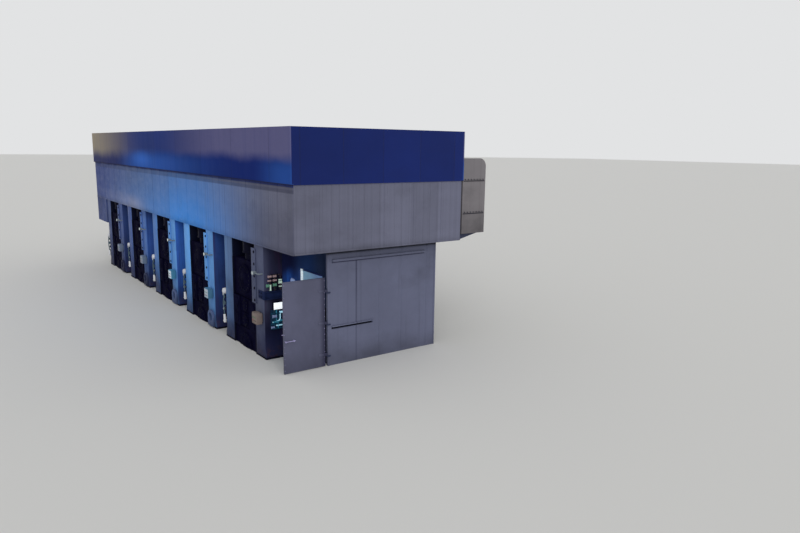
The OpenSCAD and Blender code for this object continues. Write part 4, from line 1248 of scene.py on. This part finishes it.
# Pipes and valve bodies on the last stand's exit side: finish, radius, and corners, each as its
# distance from the rack's inner end and its height over the rack's foot or the beam's top
LOW_PIPES = (
    ("teal_dark", 0.024, ((0.42, 0.56), (0.0, 0.56))),
    ("teal_dark", 0.024, ((0.38, 0.40), (0.14, 0.40), (0.14, 0.52))),
    ("teal_dark", 0.024, ((0.42, 0.20), (0.0, 0.20))),
    ("teal_dark", 0.024, ((0.40, 0.04), (0.0, 0.04))),
    ("teal_dark", 0.020, ((0.30, 0.02), (0.30, 0.69))),
    ("teal", 0.022, ((0.16, 0.02), (0.16, 0.24), (0.22, 0.24), (0.22, 0.69))),
    ("teal", 0.030, ((0.34, 0.265), (0.20, 0.265), (0.02, 0.30))),
    ("wet_light", 0.018, ((0.36, 0.26), (0.12, 0.30), (0.08, 0.36), (0.08, 0.58))),
    ("wet_light", 0.034, ((0.09, 0.59), (0.01, 0.59))),
    ("wet_light", 0.022, ((0.23, 0.135), (0.01, 0.135))),
    ("valve_low", 0.046, ((0.36, 0.468), (0.23, 0.468))),
    ("valve_low", 0.032, ((0.41, 0.085), (0.31, 0.085))),
)
HIGH_PIPES = (
    ("dark", 0.021, ((0.367, 0.0), (0.367, 0.57))),
    ("dark", 0.021, ((0.16, 0.0), (0.16, 0.57))),
    ("dark", 0.014, ((0.46, 0.43), (0.0, 0.43))),
    ("dark", 0.014, ((0.46, 0.28), (0.0, 0.28))),
    ("brown", 0.016, ((0.44, 0.02), (0.44, 0.54), (0.02, 0.54))),
    ("brown", 0.016, ((0.265, 0.0), (0.265, 0.50))),
    ("brown", 0.016, ((0.06, 0.0), (0.06, 0.50))),
    ("valve", 0.034, ((0.50, 0.50), (0.40, 0.50))),
    ("valve", 0.034, ((0.32, 0.50), (0.22, 0.50))),
    ("valve", 0.026, ((0.52, 0.355), (0.40, 0.355))),
    ("valve", 0.030, ((0.32, 0.355), (0.21, 0.355))),
    ("valve_pale", 0.026, ((0.12, 0.355), (0.01, 0.355))),
    ("valve_green", 0.046, ((0.56, 0.19), (0.48, 0.19))),
    ("valve_green", 0.046, ((0.33, 0.20), (0.22, 0.20))),
    ("valve_pale", 0.028, ((0.425, 0.03), (0.425, 0.21))),
    ("valve_pale", 0.040, ((0.12, 0.27), (0.02, 0.27))),
    ("valve_pale", 0.022, ((0.11, 0.13), (0.01, 0.13))),
)


class MILL_OT_exit_piping(MillStep, bpy.types.Operator):
    """The dark beam, the lit cabinet and the wet pipes on the last stand's exit side"""
    bl_idname = "mill.exit_piping"
    bl_label = "Exit side piping"

    # The beam's height and the thicknesses of its front plate and flanges
    BEAM, PLATE, FLANGE = 0.28, 0.04, 0.03
    # The cabinet's height, its distance from the rack's outer end, and its front's depth
    CABINET, SETBACK, FRONT = 0.27, 0.08, 0.012
    # A pipe thicker than this has a flange at each end
    FLANGED = 0.026

    def execute(self, context):
        rack, upper = sorted(solids("exit_side_piping"), key=lambda box: box[0].z)
        low, high = rack
        self.beam(low.x, *upper)
        self.cabinet(*rack)
        # The lit_finish coats carry painted lamp light that shines by itself; teal_dark is the pipes' copy
        # out of the lamp light.
        coats = {
            "teal_dark": enamel_finish("pipe_teal_dark", "teal_dark", 0.3, 0.3),
            "teal": lit_finish("pipe_teal", "teal", 0.25),
            "wet_light": lit_finish("pipe_wet_light", "wet_light", 0.4),
            "dark": finish_of("roll_force_cylinders"),
            "brown": enamel_finish("pipe_brown", "brown", 0.5, 0.5),
            "valve": lit_finish("valve_enamel", "valve", 0.15),
            "valve_low": lit_finish("valve_low_enamel", "valve_low", 0.15),
            "valve_green": lit_finish("valve_green_enamel", "valve_green", 0.15),
            "valve_pale": lit_finish("valve_pale_enamel", "valve_pale", 0.25),
        }
        # A dark sheet behind the pipes, as painted shade.
        back = Shape().block(low, (low.x + 0.03, high.y, high.z - self.BEAM))
        coat = enamel_finish("pipe_back_enamel", "pipe_back", 0.4, 0.3)
        back.finish("exit_pipe_back", coat, 0.002, "piping_paint")
        self.pipes("exit_low", LOW_PIPES, (low.x + 0.048, high.y, low.z), coats)
        self.pipes("exit_high", HIGH_PIPES, (low.x + 0.066, high.y, upper[0].z + self.BEAM), coats)
        return {"FINISHED"}

    def pipes(self, name, table, start, coats):
        """The pipes of a table, as one piece for each finish; the thick ones get a flange at each end."""
        x, y, z = start
        shapes = {}
        for kind, radius, corners in table:
            shape = shapes.setdefault(kind, Shape())
            points = [Vector((x, y - back, z + up)) for back, up in corners]
            shape.pipe(points, radius, 0.05, 16)
            if radius > self.FLANGED:
                for end in (points[0], points[-1]):
                    shape.ring(end, points[-1] - points[0], radius * 1.25, radius * 0.5, 0.014, 16)
        for kind, shape in shapes.items():
            shape.finish(f"{name}_{kind}", coats[kind], 0.0015, "piping_paint")

    def beam(self, side_x, low, high):
        """The beam, bent round the post's corner, with bolt heads on its front plate."""
        plate_y = low.y + self.PLATE
        foot, top = low.z, low.z + self.BEAM
        shape = Shape()
        shape.block(low, (high.x, plate_y, top))
        shape.block((side_x, plate_y, foot), (high.x, high.y, foot + self.FLANGE))
        shape.block((side_x, plate_y, top - self.FLANGE), (high.x, high.y, top))
        shape.block((side_x, plate_y, foot + self.FLANGE), (high.x - 0.05, high.y, top - self.FLANGE))
        coat = casting_finish("beam_paint", "beam", 0.02, 0.3)
        piece = shape.finish("exit_beam", coat, 0.005, "piping_paint")
        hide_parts("exit_side_piping")
        points = [(low.x + along, low.y - 0.006, z)
                  for along in (0.07, 0.25) for z in (foot + 0.07, top - 0.07)]
        fastened("exit_beam_bolts", points, "-Y", 0.022, 0.016)

    def cabinet(self, low, high):
        """The lit cabinet with a raised front."""
        y0, z0 = low.y + self.SETBACK, high.z - self.CABINET
        front_x = high.x - self.FRONT
        case = Shape().block((low.x, y0, z0), (front_x, high.y, high.z))
        case.finish("exit_cabinet_case", finish_of("window_liners"), 0.004, "piping_paint")
        front = Shape().block((front_x, y0 + 0.012, z0 + 0.012), (high.x, high.y - 0.012, high.z - 0.024))
        lit = lit_finish("cabinet_front", "cabinet", 0.75)
        front.finish("exit_cabinet_front", lit, 0.003, "screen_sheet")


class MILL_OT_end_walls(MillStep, bpy.types.Operator):
    """Cover strips, screws and corner trims on the end walls"""
    bl_idname = "mill.end_walls"
    bl_label = "End walls"

    # The cover strips' half width, thickness and number of screws, and the corner trims' width and
    # thickness
    HALF, STRIP, SCREWS = 0.02, 0.003, 16
    CORNER_WIDTH, CORNER = 0.07, 0.01

    def execute(self, context):
        radius = settings().sizes.screw_radius
        for node, trim, out, facing in (("exit_wall", "exit_trim", 1, "+X"),
                                        ("entry_wall", "entry_trim", -1, "-X")):
            low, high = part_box(node)
            face = high.x if out > 0 else low.x
            hood_low, hood_high = min(solids(trim), key=lambda box: box[0].z)
            strips, points = Shape(), []
            for seam in WALL_SEAMS:
                y = low.y + seam
                foot = hood_high.z + 0.04 if hood_low.y < y < hood_high.y else low.z
                self.strip(strips, face, out * self.STRIP, y - self.HALF, y + self.HALF, foot, high.z)
                points += [(face + out * 0.005, y + 0.035, z)
                           for z in spread(foot + 0.15, high.z - 0.15, self.SCREWS)]
            for y in (low.y, high.y - self.CORNER_WIDTH):
                self.strip(strips, face, out * self.CORNER, y, y + self.CORNER_WIDTH, low.z, high.z)
            strips.finish(node + "_strips", finish_of(node), 0.001, "wall_paint")
            fastened(node + "_screws", points, facing, radius, 0.008, node)
            softened(trim, 0.008)
        return {"FINISHED"}

    def strip(self, shape, face, out, y0, y1, z0, z1):
        """A flat strip on an end wall's face; out is its thickness along X."""
        shape.block((min(face, face + out), y0, z0), (max(face, face + out), y1, z1))


class MILL_OT_door(MillStep, bpy.types.Operator):
    """The guard door with rounded edges, edge trim and screws"""
    bl_idname = "mill.door"
    bl_label = "Door"

    # How far each node's edges are rounded
    EDGES = {"door_sheet": 0.003, "door_frame": 0.004, "door_handle": 0.003, "door_knuckles": 0.002}
    # The edge trim's width and thickness, and the screws in each upright of it
    TRIM_WIDTH, TRIM, SCREWS = 0.045, 0.004, 15

    def execute(self, context):
        low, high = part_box("door_sheet")
        for node, bevel in self.EDGES.items():
            softened(node, bevel, DOOR)
        width, front = self.TRIM_WIDTH, high.x + self.TRIM
        trim = Shape()
        for y in (low.y, high.y - width):
            trim.block((high.x, y, low.z), (front, y + width, high.z))
        for z in (low.z, high.z - width):
            trim.block((high.x, low.y + width, z), (front, high.y - width, z + width))
        trim.finish("door_edge_trim", finish_of("door_sheet"), 0.0015, "door_paint", DOOR)
        points = [(high.x + 0.006, y, z) for z in spread(low.z + 0.1, high.z - 0.1, self.SCREWS)
                  for y in (low.y + 0.022, high.y - 0.022)]
        fastened("door_screws", points, "+X", settings().sizes.screw_radius * 0.7, 0.005,
                 "door_handle", DOOR)
        return {"FINISHED"}


class MILL_OT_plenum(MillStep, bpy.types.Operator):
    """Dark gaskets and bolts on the joints across the exhaust plenum's ends"""
    bl_idname = "mill.plenum"
    bl_label = "Exhaust plenum"

    # The gasket's half thickness along X and Z, and the bolts along a joint
    GASKET_X, GASKET_Z, BOLTS = 0.004, 0.012, 7

    def execute(self, context):
        low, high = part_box("exhaust_plenum")
        ends = [v.co for v in NODES["exhaust_plenum"].data.vertices if v.co.x > high.x - 0.001]
        levels = sorted({round(co.z, 3) for co in ends})
        first, last = min(co.y for co in ends), max(co.y for co in ends)
        joints = list(zip(levels[::2], levels[1::2]))
        gasket = Shape()
        for face in (high.x, low.x):
            for z0, z1 in joints:
                middle = (z0 + z1) / 2
                gasket.block((face - self.GASKET_X, first, middle - self.GASKET_Z),
                             (face + self.GASKET_X, last, middle + self.GASKET_Z))
        gasket.finish("plenum_gaskets", finish_of("roll_force_cylinders"), 0.001, "plenum_sheet")
        for name, face, facing in (("plenum_exit_bolts", high.x, "+X"), ("plenum_entry_bolts", low.x, "-X")):
            bolts = [(face, y, z1 + 0.03) for z0, z1 in joints for y in middles(first, last, self.BOLTS)]
            fastened(name, bolts, facing, 0.016, 0.012)
        return {"FINISHED"}


class MILL_OT_stage(MillStep, bpy.types.Operator):
    """Floor, soft light and the camera at the photograph's angle"""
    bl_idname = "mill.stage"
    bl_label = "Stage"

    # The floor's half width, and how far it lies under the mill
    FLOOR, FLOOR_GAP = 400, 0.002
    # The photo's camera: place, focal length and width in pixels, and angles
    CAMERA = Vector((30.854, -12.859, 7.252))
    FOCAL_PX, WIDTH_PX = 652.156, 800
    YAW, PITCH, ROLL = math.radians(53.534), math.radians(10.423), math.radians(0.782)

    def execute(self, context):
        self.floor()
        self.lights()
        self.camera()
        return {"FINISHED"}

    def floor(self):
        """A wide plain floor just under the mill."""
        mesh = bpy.data.meshes.new("floor")
        mesh.from_pydata([(x * self.FLOOR, y * self.FLOOR, -self.FLOOR_GAP)
                          for x, y in ((-1, -1), (1, -1), (1, 1), (-1, 1))], [], [(0, 1, 2, 3)])
        material = bpy.data.materials.new("floor_paint")
        material.use_nodes = True
        shader = material.node_tree.nodes["Principled BSDF"]
        shader.inputs["Base Color"].default_value = (*settings().stage.floor, 1)
        shader.inputs["Roughness"].default_value = 0.9
        mesh.materials.append(material)
        floor = linked("floor", mesh)

    def lights(self):
        """Soft light from all round and one large lamp; the backdrop is what the camera sees."""
        stage = settings().stage
        world = bpy.data.worlds.new("studio")
        bpy.context.scene.world = world
        world.use_nodes = True
        tree = world.node_tree
        background = tree.nodes["Background"]
        background.inputs["Color"].default_value = (1, 1, 1, 1)
        background.inputs["Strength"].default_value = stage.sky
        seen = tree.nodes.new("ShaderNodeBackground")
        seen.inputs["Color"].default_value = (*stage.backdrop, 1)
        path = tree.nodes.new("ShaderNodeLightPath")
        rays = path.outputs["Is Camera Ray"]
        for kind in ("Is Glossy Ray", "Is Transmission Ray"):
            either = tree.nodes.new("ShaderNodeMath")
            either.operation = "MAXIMUM"
            tree.links.new(rays, either.inputs[0])
            tree.links.new(path.outputs[kind], either.inputs[1])
            rays = either.outputs[0]
        mixed = tree.nodes.new("ShaderNodeMixShader")
        for socket, source in zip(mixed.inputs, (rays, background.outputs[0], seen.outputs[0])):
            tree.links.new(source, socket)
        tree.links.new(mixed.outputs[0], tree.nodes["World Output"].inputs["Surface"])
        bpy.context.scene.view_settings.view_transform = "Standard"
        key = bpy.data.lights.new("key", "SUN")
        key.energy = stage.key
        key.angle = math.radians(50)
        lamp = linked("key", key)
        lamp.rotation_euler = Vector((-0.80, 0.36, -0.48)).to_track_quat("-Z", "Y").to_euler()

    def camera(self):
        """The camera at the photograph's place, turned by its three angles."""
        data = bpy.data.cameras.new("camera")
        data.sensor_width = 36
        data.lens = data.sensor_width * self.FOCAL_PX / self.WIDTH_PX
        data.clip_end = 500
        back = Vector((math.sin(self.YAW), -math.cos(self.YAW), 0))
        ahead = -back * math.cos(self.PITCH) - Vector((0, 0, math.sin(self.PITCH)))
        right = ahead.cross(Vector((0, 0, 1))).normalized()
        up = right.cross(ahead)
        side = right * math.cos(self.ROLL) + up * math.sin(self.ROLL)
        top = -right * math.sin(self.ROLL) + up * math.cos(self.ROLL)
        turn = Matrix((side, top, -ahead)).transposed().to_4x4()
        camera = linked("camera", data)
        camera.matrix_world = Matrix.Translation(self.CAMERA) @ turn
        bpy.context.scene.camera = camera


STEPS = (
    MILL_OT_finishes, MILL_OT_belts, MILL_OT_roof, MILL_OT_stands, MILL_OT_control_boxes,
    MILL_OT_work_lamps, MILL_OT_hose_manifolds, MILL_OT_exit_piping, MILL_OT_end_walls,
    MILL_OT_door, MILL_OT_plenum, MILL_OT_stage,
)


class MILL_PT_sidebar(bpy.types.Panel):
    """Lists the mill's steps and settings."""
    bl_label = "Mill"
    bl_idname = "MILL_PT_sidebar"
    bl_space_type = "VIEW_3D"
    bl_region_type = "UI"
    bl_category = "Mill"

    def draw(self, context):
        for step in STEPS:
            self.layout.operator(step.bl_idname)
        for group in (context.scene.mill.sizes, context.scene.mill.stage, context.scene.mill.paints):
            box = self.layout.box()
            for name in group.__annotations__:
                box.prop(group, name)


CLASSES = (MillPaints, MillSizes, MillStage, MillSettings, *STEPS, MILL_PT_sidebar)


def register():
    for item in CLASSES:
        bpy.utils.register_class(item)
    bpy.types.Scene.mill = PointerProperty(type=MillSettings)


def unregister():
    del bpy.types.Scene.mill
    for item in reversed(CLASSES):
        bpy.utils.unregister_class(item)


def main():
    """Registers the add-on and dresses the mill."""
    register()
    for step in STEPS:
        group, name = step.bl_idname.split(".")
        getattr(getattr(bpy.ops, group), name)()


if __name__ == "__main__":
    main()
